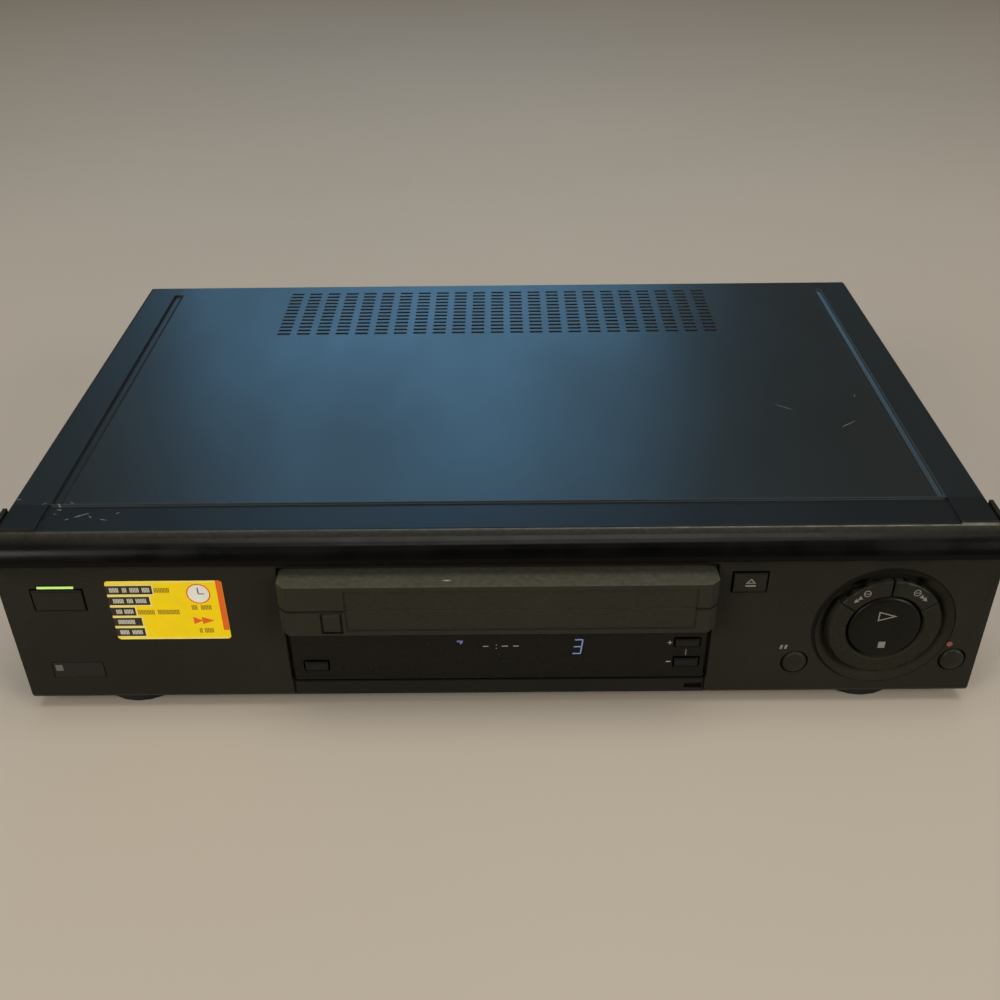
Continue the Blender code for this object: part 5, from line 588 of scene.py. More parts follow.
def dress(material, *names):
    """Gives CAD nodes their finish."""
    for name in names:
        NODES[name].data.materials.clear()
        NODES[name].data.materials.append(material)


# Shapes

def arc_points(middle, radius, start, end, steps=24):
    """Returns points along an arc given in degrees, in millimetres."""
    return [(middle[0] + radius * math.cos(math.radians(start + (end - start) * step / steps)),
             middle[1] + radius * math.sin(math.radians(start + (end - start) * step / steps)))
            for step in range(steps + 1)]


def circle(middle, radius, steps):
    return arc_points(middle, radius, 0, 360, steps)[:-1]


def ring_loops(middle, outer, inner, steps):
    return [circle(middle, outer, steps), circle(middle, inner, steps)]


def bar(left, right, low, high):
    """Returns an upright rectangle's outline."""
    return [(left, low), (right, low), (right, high), (left, high)]


def slanted(points, foot, lean):
    """Leans points sideways above their foot, as italic figures lean."""
    return [(across + (up - foot) * lean, up) for across, up in points]


def rounded_box(left, right, low, high, radius, steps=5):
    corners = ((right - radius, high - radius, 0), (left + radius, high - radius, 90),
               (left + radius, low + radius, 180), (right - radius, low + radius, 270))
    return [point for across, up, turn in corners
            for point in arc_points((across, up), radius, turn, turn + 90, steps)]


def linked(name, shape, material):
    """Puts a finished mesh in the scene."""
    bmesh.ops.recalc_face_normals(shape, faces=shape.faces)
    mesh = bpy.data.meshes.new(name)
    shape.to_mesh(mesh)
    shape.free()
    mesh.materials.append(material)
    piece = bpy.data.objects.new(name, mesh)
    bpy.context.scene.collection.objects.link(piece)
    return piece


def finer(points, step=1.2):
    """Adds points along an outline so that it can follow a curved surface."""
    result = []
    for here, there in zip(points, points[1:] + points[:1]):
        parts = max(1, math.ceil(math.dist(here, there) / step))
        result += [(here[0] + (there[0] - here[0]) * part / parts,
                    here[1] + (there[1] - here[1]) * part / parts) for part in range(parts)]
    return result


def thickened(shape, move):
    """Draws a flat mesh out into a thin plate."""
    grown = bmesh.ops.extrude_face_region(shape, geom=list(shape.faces), use_keep_orig=True)
    moved = [item for item in grown["geom"] if isinstance(item, bmesh.types.BMVert)]
    bmesh.ops.translate(shape, verts=moved, vec=move)


def smoothed(piece, sharp_from):
    """Shades a piece smoothly but for edges sharper than some degrees."""
    piece.data.shade_smooth()
    piece.data.set_sharp_from_angle(angle=math.radians(sharp_from))


def front_mark(name, node, material, *shapes, lift=0.05, thickness=0.04):
    """Lays filled outlines, each a list of loops, on the front of a CAD node and lets them ride with it."""
    surface = BVHTree.FromPolygons([vert.co for vert in NODES[node].data.vertices],
                                   [tuple(face.vertices) for face in NODES[node].data.polygons])
    back = Vector((0.0, 1.0, 0.0))
    shape = bmesh.new()
    for loops in shapes:
        edges = []
        for loop in loops:
            corners = []
            for across, up in finer(loop):
                hit = surface.ray_cast(face_point(across, up, RAY_START), back)[0]
                if hit is None:
                    raise RuntimeError(f"{name}: no surface of {node} behind {across:.1f}, {up:.1f}")
                corners.append(shape.verts.new(hit - Vector((0.0, (lift + thickness) * MM, 0.0))))
            edges += [shape.edges.new((corners[i - 1], corners[i])) for i in range(len(corners))]
        bmesh.ops.triangle_fill(shape, use_beauty=True, use_dissolve=False, edges=edges, normal=-back)
    thickened(shape, Vector((0.0, thickness * MM, 0.0)))
    piece = linked(name, shape, material)
    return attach(piece, NODES[node]["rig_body"])


def turned_piece(name, middle, profile, material, body, facets=40):
    """Turns a closed profile of radius and depth, in millimetres, about an axis that runs front to back."""
    shape = bmesh.new()
    rings = []
    for step in range(facets):
        angle = 2 * math.pi * step / facets
        rings.append([shape.verts.new(face_point(middle[0] + radius * math.cos(angle),
                                                 middle[1] + radius * math.sin(angle), depth))
                      for radius, depth in profile])
    for step, ring in enumerate(rings):
        following = rings[(step + 1) % facets]
        for i in range(len(profile)):
            shape.faces.new((ring[i - 1], ring[i], following[i], following[i - 1]))
    piece = linked(name, shape, material)
    smoothed(piece, 35)
    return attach(piece, body)


def evenly_shaded(*names):
    """Shows CAD nodes through copies whose curves are shaded smoothly."""
    for name in names:
        shape = bmesh.new()
        shape.from_mesh(NODES[name].data)
        bmesh.ops.remove_doubles(shape, verts=shape.verts, dist=0.000001)
        piece = linked(name + "_surface", shape, NODES[name].data.materials[0])
        smoothed(piece, 28)
        piece.modifiers.new("even_shading", "WEIGHTED_NORMAL").keep_sharp = True
        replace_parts(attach(piece, NODES[name]["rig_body"]), name)


# Settings

def colour_property(name, description, default):
    return FloatVectorProperty(name=name, description=description, subtype="COLOR", size=3,
                               min=0.0, max=1.0, default=default)


def glow_property(name, description, default):
    return FloatProperty(name=name, description=description, default=default, min=0.0, max=10.0)


def length_property(name, description, default, least=-1.0):
    return FloatProperty(name=name, description=description, default=default, min=least, unit="LENGTH",
                         precision=4)


def power_property(name, description, default):
    return FloatProperty(name=name, description=description, default=default, min=0.0, unit="POWER")


class CasingSettings(PropertyGroup):
    cover: colour_property("Cover", "Colour of the cover's paint", (0.0118, 0.0142, 0.0130))
    cover_strip: colour_property("Cover, edges", "Colour of its front band and outer strips",
                                 (0.0085, 0.0110, 0.0105))
    cover_roughness: FloatProperty(name="Cover roughness", description="Roughness of the cover's satin paint",
                                   default=0.33, min=0.0, max=1.0, subtype="FACTOR")
    panel: colour_property("Front panel", "Colour of the front panel's plastic", (0.0136, 0.0130, 0.0084))
    keys: colour_property("Keys", "Colour of the keys", (0.0080, 0.0076, 0.0048))
    dial: colour_property("Dial", "Colour of the round control group", (0.0118, 0.0112, 0.0074))
    disc: colour_property("Disc", "Colour of the play and stop disc", (0.0036, 0.0034, 0.0022))
    display: colour_property("Display window", "Colour of the smoked window", (0.0030, 0.0027, 0.0014))


class CassetteSettings(PropertyGroup):
    shell: colour_property("Cassette shell", "Colour of the cassette's shell", (0.0128, 0.0120, 0.0068))
    lid: colour_property("Cassette lid", "Colour of the lid over the tape", (0.0115, 0.0106, 0.0064))


class MarkSettings(PropertyGroup):
    print_colour: colour_property("Printed marks", "Colour of the light key marks", (0.190, 0.184, 0.152))
    faint_colour: colour_property("Faint marks", "Colour of the dim marks", (0.10, 0.10, 0.085))
    red: colour_property("Record mark", "Colour of the record dot", (0.230, 0.055, 0.045))
    lamp: colour_property("Power lamp", "Colour of the power lamp", (0.50, 0.78, 0.20))
    lamp_strength: glow_property("Lamp strength", "How brightly the power lamp glows", 0.45)
    figures: colour_property("Display figures", "Colour of the channel figure", (0.20, 0.27, 0.55))
    figure_strength: glow_property("Figure strength", "How brightly the channel figure glows", 0.22)
    dash_strength: glow_property("Dash strength", "How brightly the clock's dashes glow", 0.07)


class LabelSettings(PropertyGroup):
    ground: colour_property("Label ground", "Colour of the label's paper", (0.92, 0.66, 0.004))
    bars: colour_property("Label bars", "Colour of the label's dark bars", (0.030, 0.026, 0.012))
    stripe: colour_property("Label stripe", "Colour of the stripe and arrows", (0.76, 0.13, 0.015))
    left: length_property("Left edge", "The label's left edge in the face frame", -0.1687)
    low: length_property("Lower edge", "The label's lower edge in the face frame", 0.0317)
    width: length_property("Width", "The label's width", 0.0503, 0.01)
    height: length_property("Height", "The label's height", 0.0313, 0.01)


class StageSettings(PropertyGroup):
    floor: colour_property("Floor", "Colour of the plain floor", (0.430, 0.375, 0.305))
    floor_size: length_property("Floor size", "Side of the square floor", 9.0, 1.0)
    sky: colour_property("Surround", "Colour of the even light from all around", (1.0, 0.98, 0.94))
    sky_strength: FloatProperty(name="Surround strength", description="Strength of the even light",
                                default=0.20, min=0.0)
    top_power: power_property("Top lamp", "Power of the soft lamp overhead", 20.0)
    left_power: power_property("Left lamp", "Power of the soft lamp at the front left", 42.0)
    right_power: power_property("Right lamp", "Power of the soft lamp at the front right", 36.0)
    window_power: power_property("Window lamp", "Power of the cool lamp behind", 1.55)
    camera_place: FloatVectorProperty(name="Camera", description="The camera's place", size=3, precision=5,
                                      subtype="TRANSLATION", unit="LENGTH",
                                      default=(0.002952, -0.54622, 0.35148))
    camera_turn: FloatVectorProperty(name="Camera turn", description="The camera's pitch down, yaw and roll",
                                     size=3, precision=5, subtype="EULER", unit="ROTATION",
                                     default=(0.64803, -0.00543, -0.01163))
    lens: FloatProperty(name="Lens", description="Focal length on a 36 mm sensor", default=41.478, min=1.0,
                        unit="CAMERA")
    shift: FloatProperty(name="Shift", description="Upward shift of the frame", default=0.12828)


class RecorderSettings(PropertyGroup):
    casing: PointerProperty(type=CasingSettings, name="Casing", description="Colours of casing and controls")
    cassette: PointerProperty(type=CassetteSettings, name="Cassette", description="Colours of the cassette")
    marks: PointerProperty(type=MarkSettings, name="Marks", description="Colours of printed and lit marks")
    label: PointerProperty(type=LabelSettings, name="Label", description="The label on the front panel")
    stage: PointerProperty(type=StageSettings, name="Stage", description="Floor, lamps and camera")


# Operators

class RecorderOperator:
    """What all the recorder's operators share."""
    bl_options = {"REGISTER", "UNDO"}


class RECORDER_OT_stage(RecorderOperator, Operator):
    """Lays the floor, hangs the lamps and places the camera"""
    bl_idname = "recorder.stage"
    bl_label = "Stage"

    def execute(self, context):
        stage = context.scene.recorder.stage
        self.floor(stage)
        self.lamps(stage)
        self.camera(stage)
        return {"FINISHED"}

    def floor(self, stage):
        shape = bmesh.new()
        bmesh.ops.create_grid(shape, x_segments=8, y_segments=8, size=stage.floor_size / 2)
        finish = Finish("floor_paper")
        tone = tuple(stage.floor)
        body = finish.blend(finish.clouds(1.6), shade(tone, 0.97), shade(tone, 1.03))
        paper = finish.surface(body, finish.clouds(30.0, 3.0, 0.75, 0.85), specular=0.2)
        floor = linked("floor", shape, paper)

    def lamps(self, stage):
        scene = bpy.context.scene
        world = bpy.data.worlds.new("studio")
        scene.world = world
        world.use_nodes = True
        nodes, links = world.node_tree.nodes, world.node_tree.links
        back = nodes["Background"]
        back.inputs["Color"].default_value = (*stage.sky, 1.0)
        # The even light is soft all round and fuller overhead, as under a pale ceiling
        height = nodes.new("ShaderNodeSeparateXYZ")
        links.new(nodes.new("ShaderNodeTexCoord").outputs["Generated"], height.inputs[0])
        fuller = nodes.new("ShaderNodeMapRange")
        links.new(height.outputs["Z"], fuller.inputs["Value"])
        for name, number in (("From Min", 0.5), ("From Max", 1.0), ("To Min", stage.sky_strength / 3),
                             ("To Max", stage.sky_strength * 2)):
            fuller.inputs[name].default_value = number
        links.new(fuller.outputs[0], back.inputs["Strength"])
        for name, place, aim, size, colour, spread in LAMPS:
            lamp = bpy.data.lights.new(name + "_lamp", "AREA")
            lamp.shape = "RECTANGLE"
            lamp.size, lamp.size_y = size
            lamp.energy = getattr(stage, name + "_power")
            lamp.color = colour
            lamp.spread = math.radians(spread)
            holder = bpy.data.objects.new(name + "_lamp", lamp)
            holder.location = place
            holder.rotation_euler = (Vector(aim) - Vector(place)).to_track_quat("-Z", "Y").to_euler()
            holder.visible_camera = False
            scene.collection.objects.link(holder)
        scene.view_settings.view_transform = "Standard"

    def camera(self, stage):
        data = bpy.data.cameras.new("camera")
        data.lens = stage.lens
        data.sensor_width = 36.0
        data.shift_y = stage.shift
        data.clip_start = 0.01
        camera = bpy.data.objects.new("camera", data)
        pitch, yaw, roll = stage.camera_turn
        ahead = Vector((math.sin(yaw) * math.cos(pitch), math.cos(yaw) * math.cos(pitch), -math.sin(pitch)))
        level = Vector((math.cos(yaw), -math.sin(yaw), 0.0))
        upright = level.cross(ahead)
        right = math.cos(roll) * level + math.sin(roll) * upright
        up = math.cos(roll) * upright - math.sin(roll) * level
        turn = Matrix((right, up, -ahead)).transposed()
        camera.matrix_world = Matrix.Translation(stage.camera_place) @ turn.to_4x4()
        bpy.context.scene.collection.objects.link(camera)
        bpy.context.scene.camera = camera


class RECORDER_OT_casing(RecorderOperator, Operator):
    """Gives the cover, panel, chassis and feet their finishes"""
    bl_idname = "recorder.casing"
    bl_label = "Casing finishes"

    def execute(self, context):
        casing = context.scene.recorder.casing
        dress(cover_paint(casing), "top_cover")
        dress(panel_plastic(tuple(casing.panel)), "front_panel")
        flap = framed_plastic("input_flap", shade(tuple(casing.panel), 0.66), FLAP_PIN_LENGTH, top=0.0006,
                              sides=0.0006, foot=0.0, roughness=0.52, specular=0.15)
        dress(flap, "input_flap")
        dress(moulded_plastic("door_plastic", shade(tuple(casing.panel), 0.8), painted_shade=0.5), "cassette_door")
        dress(moulded_plastic("rear_paint", (0.014, 0.015, 0.016), 0.45, grain=1500.0), "rear_panel")
        zinc = plated_metal("zinc_plate", (0.50, 0.51, 0.50), 0.38, brushed=(1.0, 0.15, 1.0), tarnish=0.4)
        dress(zinc, "base_chassis")
        dress(plated_metal("screw_steel", (0.12, 0.12, 0.12), 0.32), "cover_screw_left", "cover_screw_right")
        rubber = moulded_plastic("foot_rubber", (0.012, 0.012, 0.012), 0.8, grain=1200.0, depth=0.00004,
                                 specular=0.2)
        dress(rubber, *FEET)
        dress(moulded_plastic("gland_rubber", (0.010, 0.010, 0.010), 0.6), "cord_gland")
        return {"FINISHED"}


class RECORDER_OT_controls(RecorderOperator, Operator):
    """Gives the keys, dial, display window, lamp and sensor window their finishes"""
    bl_idname = "recorder.controls"
    bl_label = "Control finishes"

    def execute(self, context):
        casing, marks = context.scene.recorder.casing, context.scene.recorder.marks
        colour, flange = tuple(casing.keys), KEY_FLANGE + KEY_GAP
        round_keys = moulded_plastic("key_plastic", colour, 0.42, grain=3200.0, depth=0.00001, specular=0.25,
                                     edge=0.0005, painted_shade=1.0, dust_and_light=0.3)
        dress(round_keys, "pause_button", "record_button")
        small = shade(colour, 0.55)
        for name, key, top, sides, foot in (("power_button", colour, 0.0009, 0.0003, 0.0003),
                                            ("eject_button", colour, 0.0005, 0.0004, 0.0004),
                                            ("source_button", small, 0.0010, 0.0004, 0.0),
                                            ("channel_up_button", small, 0.0010, 0.0004, 0.0),
                                            ("channel_down_button", small, 0.0010, 0.0004, 0.0)):
            dress(framed_plastic(name, key, flange, top, sides, foot), name)
        dial = moulded_plastic("dial_plastic", tuple(casing.dial), 0.45, grain=3000.0, depth=0.00001,
                               specular=0.16, edge=0.0004, painted_shade=0.5, dust_and_light=0.15)
        dress(dial, "rewind_button", "forward_button")
        dress(dish_plastic(tuple(casing.dial)), "dial_dish")
        disc = moulded_plastic("disc_plastic", tuple(casing.disc), 0.36, grain=3400.0, depth=0.000008,
                               specular=0.15, edge=0.0006, painted_shade=0.9, dust_and_light=0.2)
        dress(disc, "play_stop_rocker")
        smoke = smoked_gloss("display_smoke", tuple(casing.display), 0.24, specular=0.20, haze=0.12)
        dress(smoke, "display_window")
        dress(smoked_gloss("tube_glass", (0.02, 0.03, 0.03), 0.08), "display_tube")
        dress(smoked_gloss("sensor_smoke", (0.009, 0.007, 0.006), 0.25, specular=0.3), "sensor_window")
        dress(lamp_glow(tuple(marks.lamp), marks.lamp_strength), "power_light_pipe")
        return {"FINISHED"}


class RECORDER_OT_cassette(RecorderOperator, Operator):
    """Gives the cassette, its basket and its guides their finishes"""
    bl_idname = "recorder.cassette"
    bl_label = "Cassette finishes"

    def execute(self, context):
        cassette = context.scene.recorder.cassette
        shell = shell_plastic("cassette_plastic", tuple(cassette.shell), roughness=0.42, painted_shade=0.6)
        dress(shell, "cassette_lower_shell", "cassette_upper_shell")
        dress(shell_plastic("lid_plastic", tuple(cassette.lid), roughness=0.40, painted_shade=0.02), "tape_lid")
        reels = moulded_plastic("reel_plastic", (0.70, 0.70, 0.66), 0.40, grain=2000.0, depth=0.00001,
                                specular=0.45)
        dress(reels, "cassette_supply_reel", "cassette_take_up_reel")
        guides = plated_metal("guide_steel", (0.46, 0.47, 0.46), 0.40, brushed=(1.0, 0.1, 1.0))
        dress(guides, "cassette_basket", "basket_housing")
        return {"FINISHED"}


class RECORDER_OT_mechanism(RecorderOperator, Operator):
    """Gives the tape mechanism its finishes"""
    bl_idname = "recorder.mechanism"
    bl_label = "Mechanism finishes"

    def execute(self, context):
        deck = plated_metal("deck_steel", (0.52, 0.52, 0.50), 0.42, brushed=(0.1, 1.0, 1.0))
        dress(deck, "mechanism_deck")
        drum = plated_metal("drum_aluminium", (0.74, 0.75, 0.76), 0.20, brushed=(0.05, 0.05, 2.0),
                            tarnish=0.08)
        dress(drum, "drum_lower", "drum_upper")
        dress(plated_metal("spindle_steel", (0.62, 0.62, 0.61), 0.22), "capstan", "idler_arm", "pinch_arm")
        dress(plated_metal("head_shell", (0.60, 0.60, 0.58), 0.26), "audio_control_head", "full_erase_head")
        motor = plated_metal("motor_can", (0.48, 0.48, 0.47), 0.30, brushed=(1.0, 1.0, 0.1))
        dress(motor, "loading_motor")
        dress(plated_metal("pinion_brass", (0.62, 0.45, 0.18), 0.30), "motor_pinion")
        dress(moulded_plastic("roller_rubber", (0.016, 0.016, 0.016), 0.7, grain=1500.0, specular=0.25),
              "pinch_roller", "idler_wheel")
        gears = moulded_plastic("gear_plastic", (0.66, 0.64, 0.56), 0.42, grain=2000.0, depth=0.00001,
                                specular=0.45)
        dress(gears, "cam_gear", "supply_reel_table", "take_up_reel_table")
        dress(moulded_plastic("sled_plastic", (0.05, 0.05, 0.05), 0.4), "supply_sled", "take_up_sled")
        return {"FINISHED"}


class RECORDER_OT_boards(RecorderOperator, Operator):
    """Gives the boards, modules and sockets their finishes"""
    bl_idname = "recorder.boards"
    bl_label = "Board finishes"

    def execute(self, context):
        green = board_laminate("green_laminate", (0.020, 0.070, 0.022), (0.045, 0.130, 0.040))
        brown = board_laminate("brown_laminate", (0.150, 0.080, 0.030), (0.230, 0.130, 0.050))
        dress(green, "main_board", "front_board")
        dress(brown, "power_board", "control_board")
        dress(transformer_finish(), "power_transformer")
        tuner = plated_metal("tuner_can", (0.58, 0.58, 0.56), 0.30, brushed=(1.0, 1.0, 0.1))
        dress(tuner, "tuner_module")
        dress(moulded_plastic("socket_plastic", (0.012, 0.012, 0.012), 0.45), "rear_jack_block",
              "front_jack_block")
        return {"FINISHED"}


class RECORDER_OT_curves(RecorderOperator, Operator):
    """Shades the curved outer pieces smoothly"""
    bl_idname = "recorder.curves"
    bl_label = "Curved pieces"

    def execute(self, context):
        evenly_shaded("front_panel", "dial_dish", "play_stop_rocker", "rewind_button", "forward_button",
                      "pause_button", "record_button", *FEET, "cord_gland")
        return {"FINISHED"}


class RECORDER_OT_key_marks(RecorderOperator, Operator):
    """Prints the signs on the eject key, the dial's keys and the play and stop disc"""
    bl_idname = "recorder.key_marks"
    bl_label = "Key marks"

    def execute(self, context):
        ink = printed_ink("key_print", tuple(context.scene.recorder.marks.print_colour))
        triangle = [(106.2, 59.4), (110.7, 59.4), (108.45, 61.9)]
        inner = [(107.25, 59.85), (109.65, 59.85), (108.45, 61.2)]
        front_mark("eject_sign", "eject_button", ink, [triangle, inner], [bar(106.2, 110.7, 57.8, 58.6)])
        play = [(166.5, 38.5), (174.8, 41.15), (166.5, 43.8)]
        hollow = [(167.05, 39.25), (173.0, 41.15), (167.05, 43.05)]
        front_mark("play_sign", "play_stop_rocker", ink, [play, hollow], lift=0.1)
        front_mark("stop_sign", "play_stop_rocker", ink, [bar(169.1, 172.2, 23.9, 27.2)], lift=0.1)
        middle = (DIAL_MIDDLE.x / MM, (DIAL_MIDDLE.z - STAND_HEIGHT) / MM)
        for name, side, turns, ring_turn in DIAL_SIGNS:
            arrows = [[self.arrow(middle, side, turn)] for turn in turns]
            front_mark(name + "_sign", name + "_button", ink, *arrows)
            front_mark(name + "_search", name + "_button", ink, *self.search_sign(middle, side, ring_turn))
        return {"FINISHED"}

    def on_ring(self, middle, side, angle, radius):
        """Returns a point of the ring, angle degrees up from the level on the left (1) or right (-1)."""
        turn = math.radians(angle)
        return middle[0] - side * radius * math.cos(turn), middle[1] + radius * math.sin(turn)

    def arrow(self, middle, side, angle):
        """Returns one arrowhead that points down along the ring."""
        return [self.on_ring(middle, side, angle + turn, radius) for turn, radius in ARROW_CORNERS]

    def search_sign(self, middle, side, turn):
        """Returns the ringed bar beside the arrows."""
        across, up = self.on_ring(middle, side, turn, SEARCH_SIGN_RADIUS)
        return [ring_loops((across, up), 1.65, 1.25, 24),
                [bar(across - 1.2, across + 1.2, up - 0.16, up + 0.16)]]


class RECORDER_OT_panel_marks(RecorderOperator, Operator):
    """Prints the signs on the panel and in the sensor window"""
    bl_idname = "recorder.panel_marks"
    bl_label = "Panel marks"

    def execute(self, context):
        marks = context.scene.recorder.marks
        ink = printed_ink("panel_print", tuple(marks.print_colour))
        faint = printed_ink("faint_print", tuple(marks.faint_colour))
        bars = [[slanted(bar(left, left + 1.1, 23.2, 25.4), 23.2, 0.2)] for left in (125.6, 127.6)]
        front_mark("pause_sign", "front_panel", ink, *bars)
        dot = printed_ink("record_red", tuple(marks.red))
        front_mark("record_dot", "front_panel", dot, [circle((201.3, 25.1), 1.3, 32)])
        front_mark("sensor_sign", "sensor_window", faint, [bar(-200.5, -197.2, 14.0, 17.4)])
        return {"FINISHED"}


class RECORDER_OT_display(RecorderOperator, Operator):
    """Shows the clock's dashes, the channel figure and the signs beside the small keys"""
    bl_idname = "recorder.display"
    bl_label = "Display marks"

    def execute(self, context):
        marks = context.scene.recorder.marks
        dim = glowing("dash_glow", (0.26, 0.25, 0.23), marks.dash_strength)
        figure = glowing("figure_glow", tuple(marks.figures), marks.figure_strength)
        dashes = [[bar(left, right, 25.8, 26.3)] for left, right in ((-6.9, -4.5), (1.4, 4.2), (6.5, 9.0))]
        colon = [[bar(-1.2, -0.8, up, up + 0.5)] for up in (24.6, 26.4)]
        front_mark("clock_dashes", "display_window", dim, *dashes, *colon)
        front_mark("cassette_in_sign", "display_window", glowing("sign_glow", (0.12, 0.13, 0.28), 0.2),
                   [[(-18.5, 28.5), (-17.3, 28.5), (-17.1, 27.1), (-16.5, 27.6), (-15.9, 28.5), (-15.9, 29.4),
                     (-18.5, 29.4)]])
        front_mark("channel_figure", "display_window", figure,
                   *self.three(left=33.0, low=21.3, width=3.9, height=8.3, stroke=0.55, lean=0.12))
        ink = printed_ink("display_print", shade(tuple(marks.print_colour), 1.6))
        plus = [(75.4, 27.1), (76.2, 27.1), (76.2, 26.3), (76.6, 26.3), (76.6, 27.1), (77.4, 27.1),
                (77.4, 27.5), (76.6, 27.5), (76.6, 28.3), (76.2, 28.3), (76.2, 27.5), (75.4, 27.5)]
        front_mark("key_signs", "display_window", ink, [plus], [bar(75.4, 77.5, 16.25, 16.8)])
        faint = printed_ink("faint_display_print", (0.16, 0.15, 0.13))
        front_mark("channel_line", "display_window", faint, [bar(83.75, 84.15, 20.2, 23.5)])
        return {"FINISHED"}

    def three(self, left, low, width, height, stroke, lean, gap=0.12):
        """Returns the five lit segments of a figure three."""
        high, middle, right = low + height, low + height / 2, left + width
        level = [bar(left + gap, right - gap, up, up + stroke)
                 for up in (low, middle - stroke / 2, high - stroke)]
        upright = [bar(right - stroke, right, bottom, top)
                   for bottom, top in ((low + stroke + gap, middle - stroke / 2 - gap),
                                       (middle + stroke / 2 + gap, high - stroke - gap))]
        return [[slanted(segment, low, lean)] for segment in level + upright]


class RECORDER_OT_label(RecorderOperator, Operator):
    """Sticks the yellow label, with plain bars and signs, on the front panel"""
    bl_idname = "recorder.label"
    bl_label = "Label"

    def execute(self, context):
        label = context.scene.recorder.label
        self.left, self.low = label.left / MM, label.low / MM
        self.width, self.height = label.width / MM, label.height / MM
        self.sheet(label)
        self.bars(label)
        self.signs(label)
        self.lines()
        return {"FINISHED"}

    def sheet(self, label):
        """Lays the paper and the paler ground round its bars and along its edges."""
        edge = rounded_box(self.left, self.left + self.width, self.low, self.low + self.height, 1.6)
        paper = coated_paper("label_paper", tuple(label.ground))
        front_mark("label_sheet", "front_panel", paper, [edge], lift=0.02, thickness=0.08)
        steps = [self.spot(end + 0.014, up) for end, top, low in LABEL_ROWS
                 for up in (top - LABEL_MARGIN, low + LABEL_MARGIN)]
        margin = [self.spot(LABEL_LEFT, LABEL_ROWS[0][1] - LABEL_MARGIN), *steps,
                  self.spot(LABEL_LEFT, LABEL_ROWS[-1][2] + LABEL_MARGIN)]
        pale = coated_paper("label_pale", (0.84, 0.70, 0.22))
        self.overlay("label_margin", pale, [margin[::-1]], lift=0.105)
        edges = coated_paper("label_edges_pale", (0.88, 0.74, 0.16))
        self.overlay("label_edges", edges, [self.box(0.035, 0.940, 0.004, 0.034)],
                     [self.box(0.030, 0.970, 0.968, 0.996)], lift=0.105)

    def bars(self, label):
        """Lays the dark bars with rows of pale ticks on them."""
        self.dark = coated_paper("label_black", tuple(label.bars))
        rows = [[self.box(LABEL_LEFT, end, top, low)] for end, top, low in LABEL_ROWS]
        self.overlay("label_bars", self.dark, *rows, lift=0.14)
        ticks = [self.ticks(start, end, LABEL_ROWS[row][1] + 0.032, LABEL_ROWS[row][2] - 0.032)
                 for row, start, end in LABEL_DASHES]
        grey = coated_paper("label_grey", (0.62, 0.59, 0.48))
        self.overlay("label_dashes", grey, *sum(ticks, []), lift=0.18)

    def signs(self, label):
        """Lays the stripe, the arrows and the clock face."""
        orange = coated_paper("label_orange", tuple(label.stripe))
        stripe = [self.spot(*place) for place in ((0.947, 0.0), (0.947, 0.845), (0.998, 0.845), (0.998, 0.05),
                                                  (0.985, 0.0))]
        arrows = [[[self.spot(start, 0.615), self.spot(start + length, 0.678), self.spot(start, 0.74)]]
                  for start, length in ((0.700, 0.082), (0.776, 0.104))]
        self.overlay("label_orange_marks", orange, [stripe], *arrows)
        across, up = self.spot(0.785, 0.22)
        white = coated_paper("label_white", (0.80, 0.78, 0.70))
        self.overlay("label_disc", white, [circle((across, up), 4.6, 40)])
        self.overlay("label_ring", orange, ring_loops((across, up), 5.2, 4.7, 48))
        upright, level = [[(across + right, up + rise) for right, rise in hand] for hand in (
            ((-0.25, 0.0), (0.25, 0.0), (0.2, 3.3), (-0.2, 3.3)),
            ((0.3, -0.25), (2.5, -0.22), (2.5, 0.2), (0.3, 0.25)))]
        self.overlay("label_clock_hands", self.dark, [upright], [level], lift=0.16)

    def lines(self):
        """Lays rows of brown ticks beside the bars."""
        ticks = [self.ticks(start, end, up - 0.018, up + 0.062) for start, end, up in LABEL_LINES]
        self.overlay("label_lines", coated_paper("label_brown", (0.30, 0.20, 0.01)), *sum(ticks, []))

    def ticks(self, start, end, top, low):
        """Returns a row of upright ticks that fills a dash."""
        count = max(1, round((end - start) / LABEL_TICK_PITCH))
        lefts = [start + LABEL_TICK_PITCH * index for index in range(count)]
        return [[self.box(left, left + LABEL_TICK, top, low)] for left in lefts]

    def spot(self, across, down):
        return self.left + across * self.width, self.low + (1 - down) * self.height

    def box(self, start, end, top, low):
        return [self.spot(start, low), self.spot(end, low), self.spot(end, top), self.spot(start, top)]

    def overlay(self, name, material, *shapes, lift=0.11):
        front_mark(name, "front_panel", material, *shapes, lift=lift, thickness=0.03)


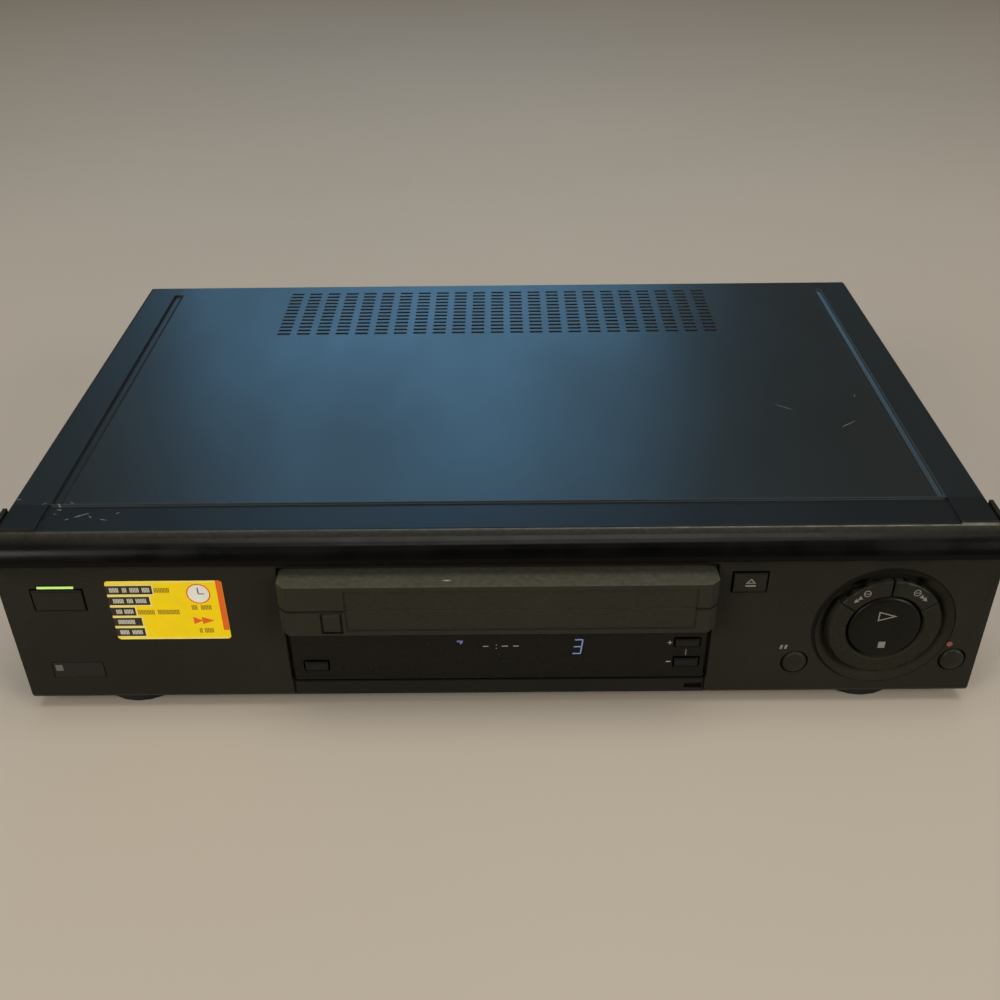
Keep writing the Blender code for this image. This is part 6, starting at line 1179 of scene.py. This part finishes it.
class RECORDER_OT_sockets(RecorderOperator, Operator):
    """Adds the metal sleeves and coloured rings of the rear sockets"""
    bl_idname = "recorder.sockets"
    bl_label = "Sockets"

    def execute(self, context):
        metal = plated_metal("socket_plate", (0.62, 0.61, 0.58), 0.22)
        inks = {"yellow": (0.72, 0.50, 0.03), "white": (0.72, 0.72, 0.68), "red": (0.55, 0.02, 0.015)}
        rings = {name: moulded_plastic("socket_" + name, colour, 0.35) for name, colour in inks.items()}
        reach, shelf = depth_of("rear_jack_block"), depth_of("rear_panel")
        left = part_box("rear_jack_block")[0].x / MM + SOCKET_MARGIN
        for row, up in SOCKET_ROWS:
            for column, colour in enumerate(("yellow", "white", "red", "yellow")):
                place = left + SOCKET_PITCH * column
                name = f"{row}_socket_{column + 1}"
                sleeve = [(3.0, reach + 0.05), (4.15, reach + 0.05), (4.22, reach - 0.3), (4.22, shelf + 1.4),
                          (5.6, shelf + 1.4), (5.6, shelf + 0.3), (4.2, shelf + 0.3), (4.17, shelf + 0.25),
                          (4.17, reach - 0.05), (3.0, reach + 0.02)]
                turned_piece(name + "_sleeve", (place, up), sleeve, metal, "casing", 28)
                ring = [(1.62, reach + 0.02), (3.0, reach + 0.02), (3.0, reach + 0.30), (1.62, reach + 0.30)]
                turned_piece(name + "_ring", (place, up), ring, rings[colour], "casing", 28)
        return {"FINISHED"}


class RECORDER_OT_aerials(RecorderOperator, Operator):
    """Cuts the thread look on the two aerial sockets with fine turned collars"""
    bl_idname = "recorder.aerials"
    bl_label = "Aerial sockets"

    def execute(self, context):
        metal = plated_metal("aerial_plate", (0.66, 0.64, 0.58), 0.24)
        low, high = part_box("tuner_module")
        reach, shelf = depth_of("tuner_module"), depth_of("rear_panel")
        middle = (low.x + high.x) / 2 / MM
        for name, across in (("aerial_in", middle - AERIAL_REACH), ("aerial_out", middle + AERIAL_REACH)):
            profile = [(4.82, shelf + 0.4), (6.4, shelf + 0.4), (6.4, shelf + 2.2), (5.0, shelf + 2.4)]
            depth = shelf + 2.6
            while depth < reach - THREAD_PITCH:
                profile += [(5.12, depth), (4.9, depth + THREAD_PITCH / 2)]
                depth += THREAD_PITCH
            profile += [(4.9, reach), (4.82, reach)]
            turned_piece(name + "_thread", (across, AERIAL_HEIGHT), profile, metal, "casing", 32)
        return {"FINISHED"}


class RECORDER_OT_cassette_windows(RecorderOperator, Operator):
    """Lays the two reel windows on the cassette"""
    bl_idname = "recorder.cassette_windows"
    bl_label = "Cassette windows"

    def execute(self, context):
        glass = smoked_gloss("reel_window", (0.050, 0.040, 0.032))
        low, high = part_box("cassette_upper_shell")
        front, top = (low.y - FACE_PLACE) / MM, (high.z - STAND_HEIGHT) / MM
        for name, side in (("supply_window", -1), ("take_up_window", 1)):
            left, right = sorted((side * WINDOW_SPAN[0], side * WINDOW_SPAN[1]))
            outline = rounded_box(left, right, front + WINDOW_DEPTH[0], front + WINDOW_DEPTH[1], 3.0)
            shape = bmesh.new()
            corners = [shape.verts.new(face_point(across, top + 0.05, back)) for across, back in outline]
            shape.faces.new(corners)
            thickened(shape, Vector((0.0, 0.0, 0.08 * MM)))
            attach(linked(name, shape, glass), "cassette")
        return {"FINISHED"}


STEPS = (RECORDER_OT_stage, RECORDER_OT_casing, RECORDER_OT_controls, RECORDER_OT_cassette,
         RECORDER_OT_mechanism, RECORDER_OT_boards, RECORDER_OT_curves, RECORDER_OT_key_marks,
         RECORDER_OT_panel_marks, RECORDER_OT_display, RECORDER_OT_label, RECORDER_OT_sockets,
         RECORDER_OT_aerials, RECORDER_OT_cassette_windows)


class RECORDER_PT_panel(Panel):
    """Lists the recorder's steps and settings"""
    bl_idname = "RECORDER_PT_panel"
    bl_label = "Cassette Recorder"
    bl_space_type = "VIEW_3D"
    bl_region_type = "UI"
    bl_category = "Recorder"

    def draw(self, context):
        layout = self.layout
        for step in STEPS:
            layout.operator(step.bl_idname)
        for group_name in ("casing", "cassette", "marks", "label", "stage"):
            group = getattr(context.scene.recorder, group_name)
            box = layout.box()
            box.label(text=group_name.capitalize())
            for key in group.bl_rna.properties.keys():
                if key not in ("rna_type", "name"):
                    box.prop(group, key)


CLASSES = (CasingSettings, CassetteSettings, MarkSettings, LabelSettings, StageSettings, RecorderSettings,
           *STEPS, RECORDER_PT_panel)


def register():
    for item in CLASSES:
        bpy.utils.register_class(item)
    bpy.types.Scene.recorder = PointerProperty(type=RecorderSettings, name="Recorder",
                                               description="The recorder's finishes, marks and stage")


def unregister():
    del bpy.types.Scene.recorder
    for item in reversed(CLASSES):
        bpy.utils.unregister_class(item)


def main():
    register()
    for step in STEPS:
        group, name = step.bl_idname.split(".")
        getattr(getattr(bpy.ops, group), name)()


if __name__ == "__main__":
    main()
